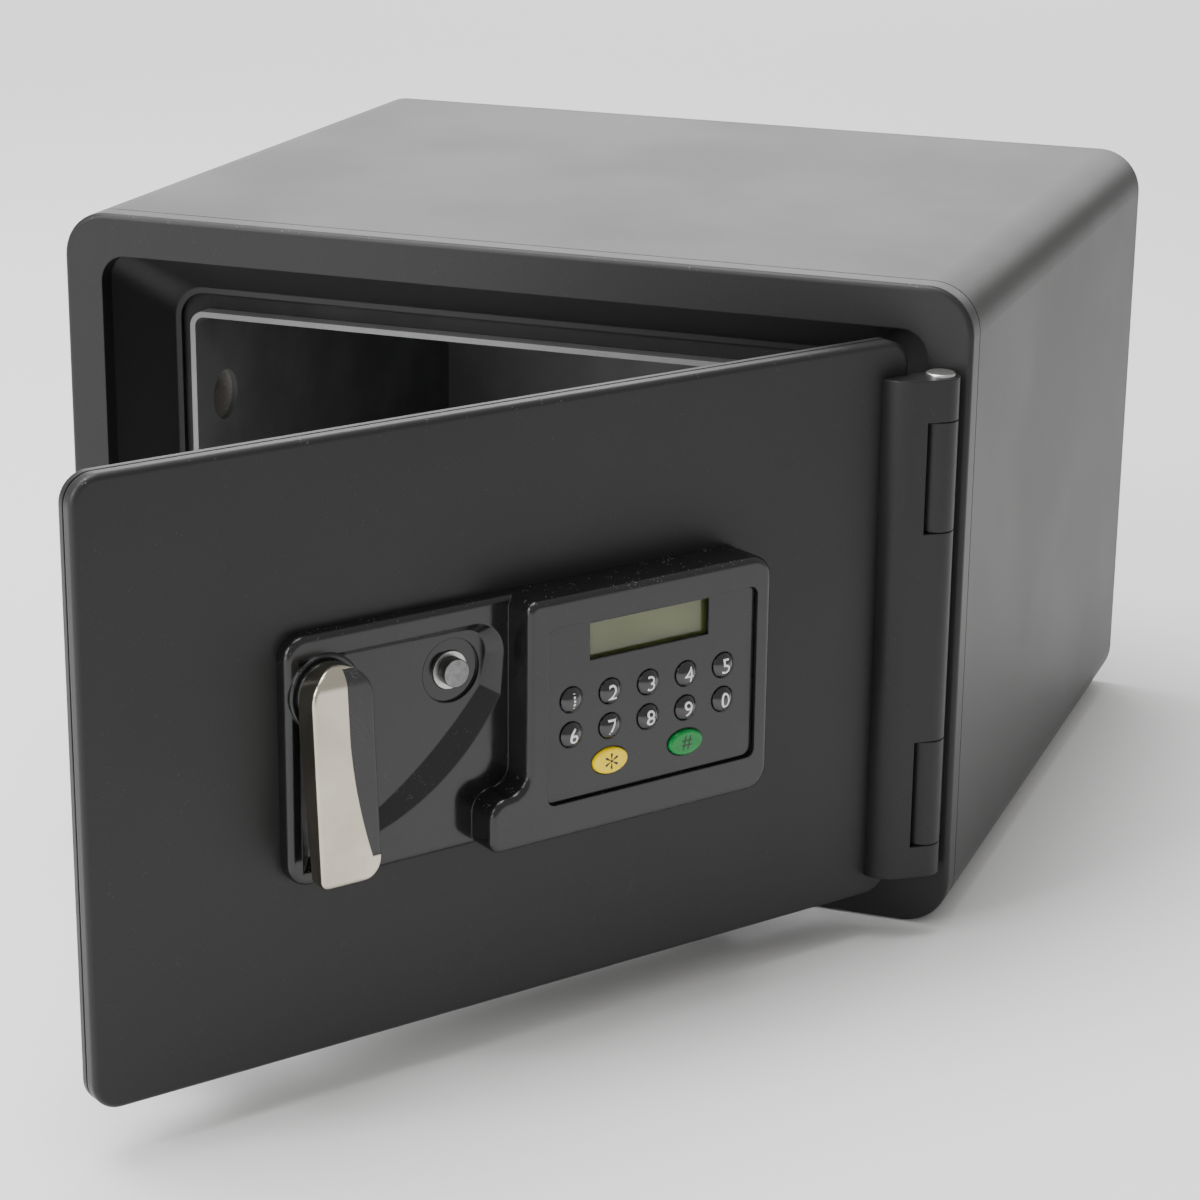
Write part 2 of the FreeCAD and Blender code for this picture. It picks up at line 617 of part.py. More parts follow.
def key_plate():
    """Inset plate with the key holes and the display window. A wider border holds it from behind."""
    x0, x1 = KEY_PLATE_X
    z0, z1 = KEY_PLATE_Z
    border_front = HIGH - MOULD_WALL
    pad = rounded_block(x0 + KEY_GAP, x1 - KEY_GAP, z0 + KEY_GAP, z1 - KEY_GAP, 4.0, at_height(KEY_PLATE_H),
                        at_height(border_front))
    border = rounded_block(x0 - KEY_PLATE_EDGE, x1 + KEY_PLATE_EDGE, z0 - KEY_PLATE_EDGE,
                           z1 + KEY_PLATE_EDGE, 5.0, at_height(border_front),
                           at_height(KEY_PLATE_H - KEY_PLATE_THICK))
    plate = pad.fuse(border).removeSplitter()
    y0, y1 = at_height(KEY_PLATE_H + 1), at_height(KEY_PLATE_H - KEY_PLATE_THICK - 1)
    plate = plate.cut(box(WINDOW_X[0], WINDOW_X[1], y0, y1, WINDOW_Z[0], WINDOW_Z[1]))
    for name, x, z in key_spots():
        if name in ("star", "hash"):
            plate = plate.cut(oval_y(x, z, OVAL_X + KEY_GAP, OVAL_Z + KEY_GAP, y0, y1))
        else:
            plate = plate.cut(rod_y(x, z, KEY_R + KEY_GAP, y0, y1))
    return plate


KEY_UNDER = KEY_PLATE_H - KEY_PLATE_THICK - KEY_GAP


def key_spots():
    """Names and places of the keys: two rows of five digits and two oval keys below."""
    spots = []
    for index, digit in enumerate("1234567890"):
        row, column = divmod(index, 5)
        spots.append((digit, KEY_FIRST_X + column * KEY_PITCH_X, KEY_TOP_Z - row * KEY_PITCH_Z))
    low = KEY_TOP_Z - 2 * KEY_PITCH_Z
    spots.append(("star", KEY_FIRST_X + KEY_PITCH_X, low))
    spots.append(("hash", KEY_FIRST_X + 3 * KEY_PITCH_X, low))
    return spots


def digit_key(x, z):
    """Round key with a domed top, a flange behind the plate and a stem over its switch."""
    top = at_height(KEY_PLATE_H + KEY_RISE)
    dome_r = (KEY_R * KEY_R + KEY_DOME * KEY_DOME) / (2 * KEY_DOME)
    dome = Part.makeSphere(dome_r, Vector(x, top + dome_r, z))
    cap = rod_y(x, z, KEY_R, top - EPS, at_height(KEY_UNDER)).common(dome)
    return finish_key(cap, x, z, KEY_R, KEY_R)


def oval_key(x, z):
    """Wide oval key, made like the digit keys."""
    top = at_height(KEY_PLATE_H + OVAL_RISE)
    cap = soften(oval_y(x, z, OVAL_X, OVAL_Z, top, at_height(KEY_UNDER)), top, OVAL_RISE * 0.7)
    return finish_key(cap, x, z, OVAL_X, OVAL_Z)


def finish_key(cap, x, z, half_x, half_z):
    """Adds the hidden flange and the stem to a key's cap."""
    flange = oval_y(x, z, half_x + KEY_FLANGE + EPS, half_z + KEY_FLANGE, at_height(KEY_UNDER),
                    at_height(KEY_UNDER - KEY_FLANGE))
    stem_end = BOARD_H + BOARD_THICK + KEY_TRAVEL + KEY_STEM_GAP
    stem = rod_y(x, z, KEY_STEM_R, at_height(KEY_UNDER - KEY_FLANGE), at_height(stem_end))
    return cap.fuse([flange, stem]).removeSplitter()


def display_box(thick_front, thick_back, edge):
    return box(WINDOW_X[0] - edge, WINDOW_X[1] + edge, at_height(thick_front), at_height(thick_back),
               WINDOW_Z[0] - edge, WINDOW_Z[1] + edge)


def display_panel():
    """Liquid-crystal module behind the window."""
    back = GLASS_H - GLASS
    return display_box(back, back - DISPLAY_THICK, DISPLAY_EDGE - 0.5)


def display_glass():
    """Thin clear pane in front of the display."""
    return display_box(GLASS_H, GLASS_H - GLASS, DISPLAY_EDGE - 0.5)


def keypad_board():
    """Circuit board under the keys and the display."""
    x0, x1 = KEY_PLATE_X
    z0, z1 = KEY_PLATE_Z
    m = BOARD_MARGIN
    return box(x0 - m, x1 + m, at_height(BOARD_H + BOARD_THICK), at_height(BOARD_H), z0 - m, z1 + m)


def board_posts():
    """Four posts on the door plate that carry the board."""
    x0, x1 = KEY_PLATE_X
    z0, z1 = KEY_PLATE_Z
    posts = [rod_y(x, z, POST_R, at_height(BOARD_H), at_height(0))
             for x in (x0 + POST_INSET, x1 - POST_INSET) for z in (z0 + POST_INSET, z1 - POST_INSET)]
    return Part.makeCompound(posts)


def override_lock():
    """Emergency lock cylinder that goes through the door, with a socket for the cap in front."""
    front = at_height(DISH_FLOOR + CAP_SEAT - KEY_GAP)
    body = rod_y(CAP_X, CAP_Z, LOCK_R, front, at_depth(BLOCK_BACK + LOCK_LENGTH))
    return body.cut(rod_y(CAP_X, CAP_Z, CAP_STEM_R + CAP_STEM_FIT, at_height(LOW), at_height(-CAP_STEM)))


def override_cap():
    """Brushed metal button that covers the emergency keyhole and pulls straight out."""
    face = at_height(CAP_H)
    seat = at_height(DISH_FLOOR + CAP_SEAT)
    cap = soften(rod_y(CAP_X, CAP_Z, CAP_R, face, seat), face, CAP_EDGE_R)
    return cap.fuse(rod_y(CAP_X, CAP_Z, CAP_STEM_R, seat, at_height(-CAP_STEM + 1))).removeSplitter()


# ---- lever, spindle and crank ----
def lever_plan():
    """Outline of the lever as seen from the front: a round head and two unequal lower corners."""
    half = LEVER_WIDTH / 2
    left, right, low = LEVER_X - half, LEVER_X + half, LEVER_Z - LEVER_TIP
    r0, r1 = LEVER_CORNERS
    y = at_height(0)

    def p(x, z):
        return Vector(x, y, z)

    def corner(cx, cz, radius, start):
        return Part.Arc(*[p(cx + radius * cos(radians(start + a)), cz + radius * sin(radians(start + a)))
                          for a in (0, 45, 90)]).toShape()
    return Part.Wire([
        Part.makeLine(p(left + r0, low), p(right - r1, low)),
        corner(right - r1, low + r1, r1, 270),
        Part.makeLine(p(right, low + r1), p(right, LEVER_Z)),
        Part.Arc(p(right, LEVER_Z), p(LEVER_X, LEVER_Z + half), p(left, LEVER_Z)).toShape(),
        Part.makeLine(p(left, LEVER_Z), p(left, low + r0)),
        corner(left + r0, low + r0, r0, 180)])


def lever_bar(sink):
    """Side outline of the lever drawn out along X, with its front this much below the true front."""
    top, low = LEVER_Z + LEVER_WIDTH / 2 + LEVER_OVER, LEVER_Z - LEVER_TIP - LEVER_OVER
    end = LEVER_FRONT + LEVER_LEAN
    # height out from the door and Z
    side = [(LEVER_BACK, top), (LEVER_BACK, LEVER_Z - LEVER_BEND), (end - LEVER_END, low), (end - sink, low),
            (LEVER_FRONT - sink, top)]
    points = [Vector(LEVER_X - LEVER_WIDTH, at_height(h), z) for h, z in side]
    return Part.Face(Part.makePolygon(points + points[:1])).extrude(Vector(2 * LEVER_WIDTH, 0, 0))


def lever_blade(sink):
    """The whole lever without its hub: its side outline, rounded over the top and the lower end,
    within its front outline."""
    bar = lever_bar(sink)
    top, low = LEVER_Z + LEVER_WIDTH / 2 + LEVER_OVER, LEVER_Z - LEVER_TIP - LEVER_OVER
    for h, z, radius in ((LEVER_FRONT - sink, top, LEVER_CROWN_R),
                         (LEVER_FRONT + LEVER_LEAN - sink, low, LEVER_END_R)):
        across = [e for e in bar.Edges if e.BoundBox.XLength > LEVER_WIDTH
                  and abs(e.BoundBox.YMin - at_height(h)) < EPS and abs(e.BoundBox.ZMin - z) < EPS]
        bar = bar.makeFillet(radius, across)
    return Part.Face(lever_plan()).extrude(Vector(0, -2 * LEVER_FRONT, 0)).common(bar)


def rim_edges(blade):
    """Edges of the lever's front: those that stand out further than its back."""
    lean = (LEVER_LEAN + LEVER_FRONT - LEVER_END - LEVER_BACK) / (LEVER_TIP - LEVER_BEND)

    def in_front(edge):
        spots = [edge.valueAt(edge.FirstParameter + (edge.LastParameter - edge.FirstParameter) * t)
                 for t in (0.1, 0.5, 0.9)]
        return all(FRONT - p.y > LEVER_BACK + max(0.0, LEVER_Z - LEVER_BEND - p.z) * lean + 0.5 for p in spots)

    def upright(edge):
        return edge.BoundBox.XLength < EPS and edge.BoundBox.ZLength < EPS

    def inner(edge):
        return edge.BoundBox.XLength > LEVER_WIDTH / 2 and edge.BoundBox.ZLength < EPS
    return [e for e in blade.Edges if in_front(e) and not upright(e) and not inner(e)]


def grip_region():
    """Room that the grip fills: right of its edge line, above the lip at the lever's lower end."""
    p = [Vector(LEVER_X + x, at_height(0), LEVER_Z + z) for x, z in GRIP_EDGE]
    right = Vector(LEVER_X + LEVER_WIDTH, at_height(0), p[3].z)
    top = Vector(right.x, at_height(0), p[0].z)
    outline = Part.Wire([Part.makeLine(p[0], p[1]), Part.Arc(p[1], p[2], p[3]).toShape(),
                         Part.makeLine(p[3], right), Part.makeLine(right, top), Part.makeLine(top, p[0])])
    prism = Part.Face(outline).extrude(Vector(0, -2 * LEVER_FRONT, 0))
    return prism.cut(lever_bar(GRIP_DEEP))


def handle_lever():
    """Polished lever that hangs down from its round head and leans out towards its lower end."""
    blade = lever_blade(0)
    blade = blade.makeFillet(LEVER_EDGE_R, rim_edges(blade)).cut(grip_region())
    hub = rod_y(LEVER_X, LEVER_Z, HUB_R, at_height(LEVER_BACK + 1), at_height(HUB_FOOT))
    shaft_hole = rod_y(LEVER_X, LEVER_Z, SPINDLE_R, at_height(SPINDLE_TOP), at_height(0))
    return blade.fuse(hub).removeSplitter().cut(shaft_hole)


def handle_grip():
    """Black inlay along the lever's right side."""
    blade = lever_blade(GRIP_SINK)
    return blade.makeFillet(LEVER_EDGE_R, rim_edges(blade)).common(grip_region())


def handle_spindle():
    """Shaft from the lever's hub through the door to the crank."""
    return rod_y(LEVER_X, LEVER_Z, SPINDLE_R, at_height(SPINDLE_TOP), at_depth(SPINDLE_END))


def spindle_bush():
    """Bearing bush in the door layers that the spindle turns in."""
    outer = rod_y(LEVER_X, LEVER_Z, SPINDLE_R + 1, at_depth(0.5), at_depth(BLOCK_BACK))
    return outer.cut(rod_y(LEVER_X, LEVER_Z, SPINDLE_R + SPINDLE_FIT, at_depth(0), at_depth(BLOCK_BACK + 1)))


def drive_crank():
    """Disc on the spindle with a pin above the axis that moves the bolt bar sideways."""
    y0 = at_depth(CRANK_DEPTH)
    disc = rod_y(LEVER_X, LEVER_Z, CRANK_R, y0, y0 + CRANK_PLATE)
    half = radians(LEVER_TURN / 2)
    pin = rod_y(LEVER_X + PITCH * sin(half), LEVER_Z + PITCH * cos(half), CRANK_PIN_R, y0 + CRANK_PLATE,
                at_depth(TAB_DEPTH + 2))
    boss = rod_y(LEVER_X, LEVER_Z, SPINDLE_R + CRANK_PIN_R, y0 - CRANK_BOSS, y0)
    crank = disc.fuse([pin, boss]).removeSplitter()
    return crank.cut(rod_y(LEVER_X, LEVER_Z, SPINDLE_R, at_depth(0), at_depth(SPINDLE_END)))


def lock_bolt(z):
    """Round steel bolt with a chamfered tip."""
    bolt = rod_x(at_depth(BOLT_DEPTH), z, BOLT_R, BOLT_TIP_X, BOLT_TAIL_X)
    tip = [e for e in bolt.Edges if e.BoundBox.XMax < BOLT_TIP_X + EPS]
    return bolt.makeChamfer(BOLT_CHAMFER, tip)


def bolt_bar():
    """Plate behind both bolts with a slotted tab that the crank pin works in."""
    y = at_depth(BOLT_DEPTH)
    x1 = BOLT_TAIL_X + BAR_PLATE
    plate = box(BOLT_TAIL_X, x1, y - BOLT_R, y + BOLT_R + 2, BOLT_Z[0] - BAR_END, BOLT_Z[1] + BAR_END)
    half = radians(LEVER_TURN / 2)
    slot_x = LEVER_X + BOLT_THROW / 2
    play = PITCH * (half - sin(half)) + CRANK_SLACK
    low, high = LEVER_Z + PITCH * cos(half) - CRANK_PIN_R - 1, LEVER_Z + PITCH + CRANK_PIN_R + 1
    wide = CRANK_PIN_R + play
    tab = box(x1, slot_x + wide + TAB_MARGIN, at_depth(TAB_DEPTH - TAB_PLATE), at_depth(TAB_DEPTH),
              low - TAB_MARGIN, high + TAB_MARGIN)
    slot = box(slot_x - wide, slot_x + wide, at_depth(TAB_DEPTH - 2 * TAB_PLATE), at_depth(TAB_DEPTH + 1),
               low, high)
    # room for the spindle end and the crank disc, which the bar passes as it moves
    notch = box(BOLT_TAIL_X - 1, x1 + EPS, y - BOLT_R - 1, at_depth(TAB_DEPTH - TAB_PLATE),
                LEVER_Z - CRANK_R - BAR_CLEAR, LEVER_Z + CRANK_R + BAR_CLEAR)
    return plate.cut(notch).fuse(tab).removeSplitter().cut(slot)


# ---- battery case ----
def case_half():
    """Half width and half height of the battery case."""
    return CELL_COUNT * CELL_R + CASE_WALL + CELL_FIT, CELL_LENGTH / 2 + CASE_WALL + CASE_SPACE


def cell_spots():
    first = CASE_X - (CELL_COUNT - 1) * CELL_R
    return [first + 2 * CELL_R * i for i in range(CELL_COUNT)]


def battery_case():
    """Open tray let into the inner cover."""
    half_x, half_z = case_half()
    w = CASE_WALL
    floor = CASE_TOP_DEPTH - 2 * CELL_R - 3 * w
    tray = box(CASE_X - half_x, CASE_X + half_x, at_depth(floor), at_depth(CASE_TOP_DEPTH - w), CASE_Z - half_z,
               CASE_Z + half_z)
    return tray.cut(box(CASE_X - half_x + w, CASE_X + half_x - w, at_depth(floor + w), at_depth(CASE_TOP_DEPTH),
                        CASE_Z - half_z + w, CASE_Z + half_z - w))


def batteries():
    """Four round cells side by side."""
    y = at_depth(CASE_TOP_DEPTH - CELL_R - 1.5 * CASE_WALL)
    return Part.makeCompound([rod_z(x, y, CELL_R - 0.05, CASE_Z - CELL_LENGTH / 2, CASE_Z + CELL_LENGTH / 2)
                              for x in cell_spots()])


def battery_lid():
    """Lid that closes the battery tray, with a finger notch."""
    half_x, half_z = case_half()
    y1 = at_depth(CASE_TOP_DEPTH)
    lid = rounded_block(CASE_X - half_x, CASE_X + half_x, CASE_Z - half_z, CASE_Z + half_z, LID_CORNER,
                        y1 - CASE_WALL, y1)
    lid = soften(lid, y1, LID_EDGE_R)
    top = CASE_Z + half_z
    return lid.cut(rounded_block(CASE_X - NOTCH_HALF, CASE_X + NOTCH_HALF, top - NOTCH_Z[0], top - NOTCH_Z[1],
                                 NOTCH_CORNER, y1 - CASE_WALL / 2, y1 + 1))


def build():
    body = {
        "front_frame": front_frame(),
        "outer_jacket": outer_jacket(),
        "back_panel": back_panel(),
        "inner_liner": inner_liner(),
        "jamb_seal": jamb_seal(),
        "body_insulation": body_insulation(),
        "hinge_knuckle_lower": hinge_knuckle(KNUCKLE_Z[0]),
        "hinge_knuckle_upper": hinge_knuckle(KNUCKLE_Z[1]),
    }
    door = {
        "door_skin": door_skin(),
        "door_back_plate": door_back_plate(),
        "door_fire_block": pierced_fire_block(),
        "door_cover": door_cover(),
        "cover_screws": cover_screws(),
        "bolt_guides": bolt_guides(),
        "hinge_leaf": hinge_leaf(),
        "hinge_pin": hinge_pin(),
        "lock_fascia": lock_fascia(),
        "lever_ring": lever_ring(),
        "key_plate": key_plate(),
        "display_panel": display_panel(),
        "display_glass": display_glass(),
        "keypad_board": keypad_board(),
        "board_posts": board_posts(),
        "override_lock": override_lock(),
        "override_cap": override_cap(),
        "handle_lever": handle_lever(),
        "handle_grip": handle_grip(),
        "handle_spindle": handle_spindle(),
        "spindle_bush": spindle_bush(),
        "drive_crank": drive_crank(),
        "bolt_lower": lock_bolt(BOLT_Z[0]),
        "bolt_upper": lock_bolt(BOLT_Z[1]),
        "bolt_bar": bolt_bar(),
        "battery_case": battery_case(),
        "batteries": batteries(),
        "battery_lid": battery_lid(),
    }
    for name, x, z in key_spots():
        make = oval_key if name in ("star", "hash") else digit_key
        door["key_" + name] = make(x, z)
    for name, shape in body.items():
        save(name, shape)
    for name, shape in door.items():
        save(name, hang(shape))


build()
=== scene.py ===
"""Fire-resistant safe: finishes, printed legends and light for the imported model.

Lengths are metres in the model's own frame. The door's own frame has x to the right along the
door, h out of its front face and z up; it is found from the hinge and the lever's axis.
"""
import json
import math

import bmesh
import bpy
import numpy as np
from mathutils import Matrix, Vector


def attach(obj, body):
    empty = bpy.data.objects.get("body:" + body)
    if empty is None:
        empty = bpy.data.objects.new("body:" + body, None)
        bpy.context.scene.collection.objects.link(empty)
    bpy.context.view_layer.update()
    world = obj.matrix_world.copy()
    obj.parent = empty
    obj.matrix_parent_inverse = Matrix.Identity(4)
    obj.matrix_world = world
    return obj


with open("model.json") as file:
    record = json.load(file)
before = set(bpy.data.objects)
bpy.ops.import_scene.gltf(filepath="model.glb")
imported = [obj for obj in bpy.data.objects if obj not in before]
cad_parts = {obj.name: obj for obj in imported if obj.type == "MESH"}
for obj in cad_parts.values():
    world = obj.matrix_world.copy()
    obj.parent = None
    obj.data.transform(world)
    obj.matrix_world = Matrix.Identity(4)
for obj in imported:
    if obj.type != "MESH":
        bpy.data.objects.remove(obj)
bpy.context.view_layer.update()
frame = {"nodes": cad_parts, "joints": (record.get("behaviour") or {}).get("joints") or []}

NODES = frame["nodes"]
JOINTS = {joint["name"]: joint for joint in frame["joints"]}

# ---- sizes of the printed marks, in metres ----
DIGIT_HEIGHT = 0.0066
MARK_HEIGHT = 0.0072
HASH_HEIGHT = 0.0062
PRINT_LIFT = 0.00004
KEY_HALF = 0.0054           # radius of a digit key
KEY_DOME = 0.0023           # how much its middle stands above its rim
OVAL_HALF = (0.0087, 0.0056)
OVAL_ROUND = 0.00126        # rounding at the edge of an oval key
TEXT_STEP = 0.12            # longest edge inside a legend, as a share of the font's size
RING_SPACING = 0.00062      # between the turned rings on the cap

# ---- floor, light and camera ----
FLOOR_HALF = 12.0
SURROUND = 0.6
LIGHTS = {  # place, aim, width, height and power
    "light_above": ((-0.7, -0.2, 2.7), (0.0, 0.1, 0.1), 2.0, 2.0, 120.0),
    "light_back": ((-0.9, 3.7, 1.5), (0.0, 0.0, 0.3), 4.2, 1.8, 76.0),
    "light_front": ((-1.9, -2.7, 1.9), (0.0, -0.1, 0.15), 1.7, 1.7, 110.0),
    "light_low": ((-1.0, -3.2, 0.42), (0.0, 0.0, 0.2), 1.4, 0.7, 12.0),
}
CAMERA_PLACE = (0.5485, -1.5426, 0.6132)
CAMERA_YAW, CAMERA_PITCH, CAMERA_ROLL = 20.049, 18.147, 0.631
CAMERA_LENS = 97.476


# ---------------------------------------------------------------- the door's frame
HINGE = np.array(JOINTS["door_hinge"]["pos_m"], float)
OUT = np.array(JOINTS["lever_turn"]["axis"], float)
OUT /= np.linalg.norm(OUT)
UP = np.array([0.0, 0.0, 1.0])
RIGHT = np.cross(UP, OUT)


def mesh_points(node):
    """The node's vertices as an array of rows, as the model was packed."""
    mesh = NODES[node].data
    flat = np.empty(len(mesh.vertices) * 3, np.float32)
    mesh.vertices.foreach_get("co", flat)
    return flat.reshape(-1, 3).astype(float)


def to_door(points):
    """Each point as its distances along RIGHT and OUT from the hinge line, and its height."""
    away = points - HINGE * [1, 1, 0]
    return np.stack([away @ RIGHT, away @ OUT, points[:, 2]], axis=1)


def from_door(places):
    """The points that lie at those distances from the hinge line and that height."""
    flat = HINGE * [1, 1, 0]
    return flat + places[:, :1] * RIGHT + places[:, 1:2] * OUT + places[:, 2:] * UP


def door_box(node):
    """Lowest and highest place of a node in the door's frame."""
    places = to_door(mesh_points(node))
    return places.min(axis=0), places.max(axis=0)


# ---------------------------------------------------------------- building materials
def new_material(name, base, roughness, metallic=0.0, coat=0.0, coat_roughness=0.1, specular=0.5):
    """A material with one Principled shader. Numbers that never vary sit on its own sockets."""
    material = bpy.data.materials.new(name)
    material.use_nodes = True
    tree = material.node_tree
    tree.nodes.clear()
    out = tree.nodes.new("ShaderNodeOutputMaterial")
    shader = tree.nodes.new("ShaderNodeBsdfPrincipled")
    shader.inputs["Base Color"].default_value = (*base, 1.0)
    shader.inputs["Roughness"].default_value = roughness
    shader.inputs["Metallic"].default_value = metallic
    shader.inputs["Specular IOR Level"].default_value = specular
    shader.inputs["Coat Weight"].default_value = coat
    shader.inputs["Coat Roughness"].default_value = coat_roughness
    tree.links.new(shader.outputs["BSDF"], out.inputs["Surface"])
    return material, tree, shader


def new_effect(name, inputs, outputs):
    """An empty node group with named inputs (name, kind, value) and outputs (name, kind)."""
    group = bpy.data.node_groups.new(name, "ShaderNodeTree")
    for label, kind, value in inputs:
        socket = group.interface.new_socket(name=label, in_out="INPUT", socket_type=kind)
        if value is not None:
            socket.default_value = value
    for label, kind in outputs:
        group.interface.new_socket(name=label, in_out="OUTPUT", socket_type=kind)
    return group, group.nodes.new("NodeGroupInput"), group.nodes.new("NodeGroupOutput")


def place_effect(tree, group, **values):
    """Puts a group into a material and sets its inputs; underscores stand for spaces."""
    node = tree.nodes.new("ShaderNodeGroup")
    node.node_tree = group
    for label, value in values.items():
        node.inputs[label.replace("_", " ")].default_value = value
    return node


def math_node(tree, operation, a, b=None, clamp=False):
    """One Math node; a and b are sockets or numbers. Returns its output."""
    node = tree.nodes.new("ShaderNodeMath")
    node.operation = operation
    node.use_clamp = clamp
    for slot, value in enumerate([a, b]):
        if value is None:
            continue
        if isinstance(value, (int, float)):
            node.inputs[slot].default_value = value
        else:
            tree.links.new(value, node.inputs[slot])
    return node.outputs[0]


def range_node(tree, value, low, high, new_low=0.0, new_high=1.0):
    """Smooth change from new_low to new_high while value goes from low to high."""
    node = tree.nodes.new("ShaderNodeMapRange")
    node.interpolation_type = "SMOOTHSTEP"
    for label, number in (("From Min", low), ("From Max", high), ("To Min", new_low), ("To Max", new_high)):
        node.inputs[label].default_value = number
    tree.links.new(value, node.inputs["Value"])
    return node.outputs["Result"]


def noise_node(tree, vector, scale, detail=2.0, roughness=0.5):
    """Noise over a vector socket. Returns its value output."""
    node = tree.nodes.new("ShaderNodeTexNoise")
    node.inputs["Detail"].default_value = detail
    node.inputs["Roughness"].default_value = roughness
    if isinstance(scale, (int, float)):
        node.inputs["Scale"].default_value = scale
    else:
        tree.links.new(scale, node.inputs["Scale"])
    tree.links.new(vector, node.inputs["Vector"])
    return node.outputs["Fac"]


def mix_colours(tree, mask, a, b):
    """Colour a where the mask is 0 and b where it is 1. Either may be a socket or three numbers."""
    node = tree.nodes.new("ShaderNodeMix")
    node.data_type = "RGBA"
    tree.links.new(mask, node.inputs["Factor"])
    for label, value in (("A", a), ("B", b)):
        socket = [s for s in node.inputs if s.name == label and s.type == "RGBA"][0]
        if isinstance(value, tuple):
            socket.default_value = (*value, 1.0)
        else:
            tree.links.new(value, socket)
    return [s for s in node.outputs if s.type == "RGBA"][0]


def object_place(tree):
    """The place on the object, in metres."""
    return tree.nodes.new("ShaderNodeTexCoord").outputs["Object"]


def bump_node(tree, height, strength, distance, under=None):
    """Bump from a height socket. Returns the normal."""
    node = tree.nodes.new("ShaderNodeBump")
    node.inputs["Strength"].default_value = strength
    node.inputs["Distance"].default_value = distance
    tree.links.new(height, node.inputs["Height"])
    if under is not None:
        tree.links.new(under, node.inputs["Normal"])
    return node.outputs["Normal"]


# ---------------------------------------------------------------- shared effects
def make_grain():
    """Fine texture of a sprayed or moulded skin: waves of one size with finer noise on them,
    small flecks where a third noise peaks, and slow clouds over the whole piece."""
    group, given, out = new_effect(
        "skin_grain",
        [("Waves per metre", "NodeSocketFloat", 900.0), ("Flecks per metre", "NodeSocketFloat", 2500.0),
         ("Clouds per metre", "NodeSocketFloat", 9.0)],
        [("Height", "NodeSocketFloat"), ("Flecks", "NodeSocketFloat"), ("Clouds", "NodeSocketFloat")])
    place = object_place(group)
    waves = noise_node(group, place, given.outputs["Waves per metre"], 3.0, 0.6)
    flecks = noise_node(group, place, given.outputs["Flecks per metre"], 1.0, 0.5)
    clouds = noise_node(group, place, given.outputs["Clouds per metre"], 4.0, 0.55)
    group.links.new(waves, out.inputs["Height"])
    group.links.new(range_node(group, flecks, 0.62, 0.78), out.inputs["Flecks"])
    group.links.new(range_node(group, clouds, 0.3, 0.7), out.inputs["Clouds"])
    return group


def make_edge_rub():
    """Mask of rubbed edges: how far the normal of a rounded copy of the shape turns from the true
    normal, broken up by noise."""
    group, given, out = new_effect(
        "edge_rub",
        [("Width", "NodeSocketFloat", 0.0006), ("Patches per metre", "NodeSocketFloat", 60.0)],
        [("Mask", "NodeSocketFloat"), ("Soft normal", "NodeSocketVector")])
    bevel = group.nodes.new("ShaderNodeBevel")
    bevel.samples = 4
    group.links.new(given.outputs["Width"], bevel.inputs["Radius"])
    geometry = group.nodes.new("ShaderNodeNewGeometry")
    dot = group.nodes.new("ShaderNodeVectorMath")
    dot.operation = "DOT_PRODUCT"
    group.links.new(bevel.outputs["Normal"], dot.inputs[0])
    group.links.new(geometry.outputs["Normal"], dot.inputs[1])
    turned = math_node(group, "SUBTRACT", 1.0, dot.outputs["Value"], clamp=True)
    patches = noise_node(group, object_place(group), given.outputs["Patches per metre"], 5.0, 0.7)
    broken = math_node(group, "MULTIPLY", range_node(group, turned, 0.02, 0.22),
                       range_node(group, patches, 0.42, 0.68), clamp=True)
    group.links.new(broken, out.inputs["Mask"])
    group.links.new(bevel.outputs["Normal"], out.inputs["Soft normal"])
    return group


def make_dust():
    """Mask of settled dust: tiny specks, more of them on surfaces that face up."""
    group, given, out = new_effect(
        "settled_dust",
        [("Specks per metre", "NodeSocketFloat", 700.0), ("Reach", "NodeSocketFloat", 0.5)],
        [("Mask", "NodeSocketFloat")])
    place = object_place(group)
    cells = group.nodes.new("ShaderNodeTexVoronoi")
    cells.inputs["Randomness"].default_value = 1.0
    group.links.new(place, cells.inputs["Vector"])
    group.links.new(given.outputs["Specks per metre"], cells.inputs["Scale"])
    specks = range_node(group, cells.outputs["Distance"], 0.26, 0.12)
    thin = range_node(group, noise_node(group, place, 160.0, 3.0, 0.7), 0.50, 0.66)
    normal = group.nodes.new("ShaderNodeNewGeometry").outputs["Normal"]
    parts = group.nodes.new("ShaderNodeSeparateXYZ")
    group.links.new(normal, parts.inputs["Vector"])
    upward = range_node(group, parts.outputs["Z"], -0.1, 0.8, 0.12, 1.0)
    lying = math_node(group, "MULTIPLY", math_node(group, "MULTIPLY", specks, thin), upward)
    group.links.new(math_node(group, "MULTIPLY", lying, given.outputs["Reach"]), out.inputs["Mask"])
    return group


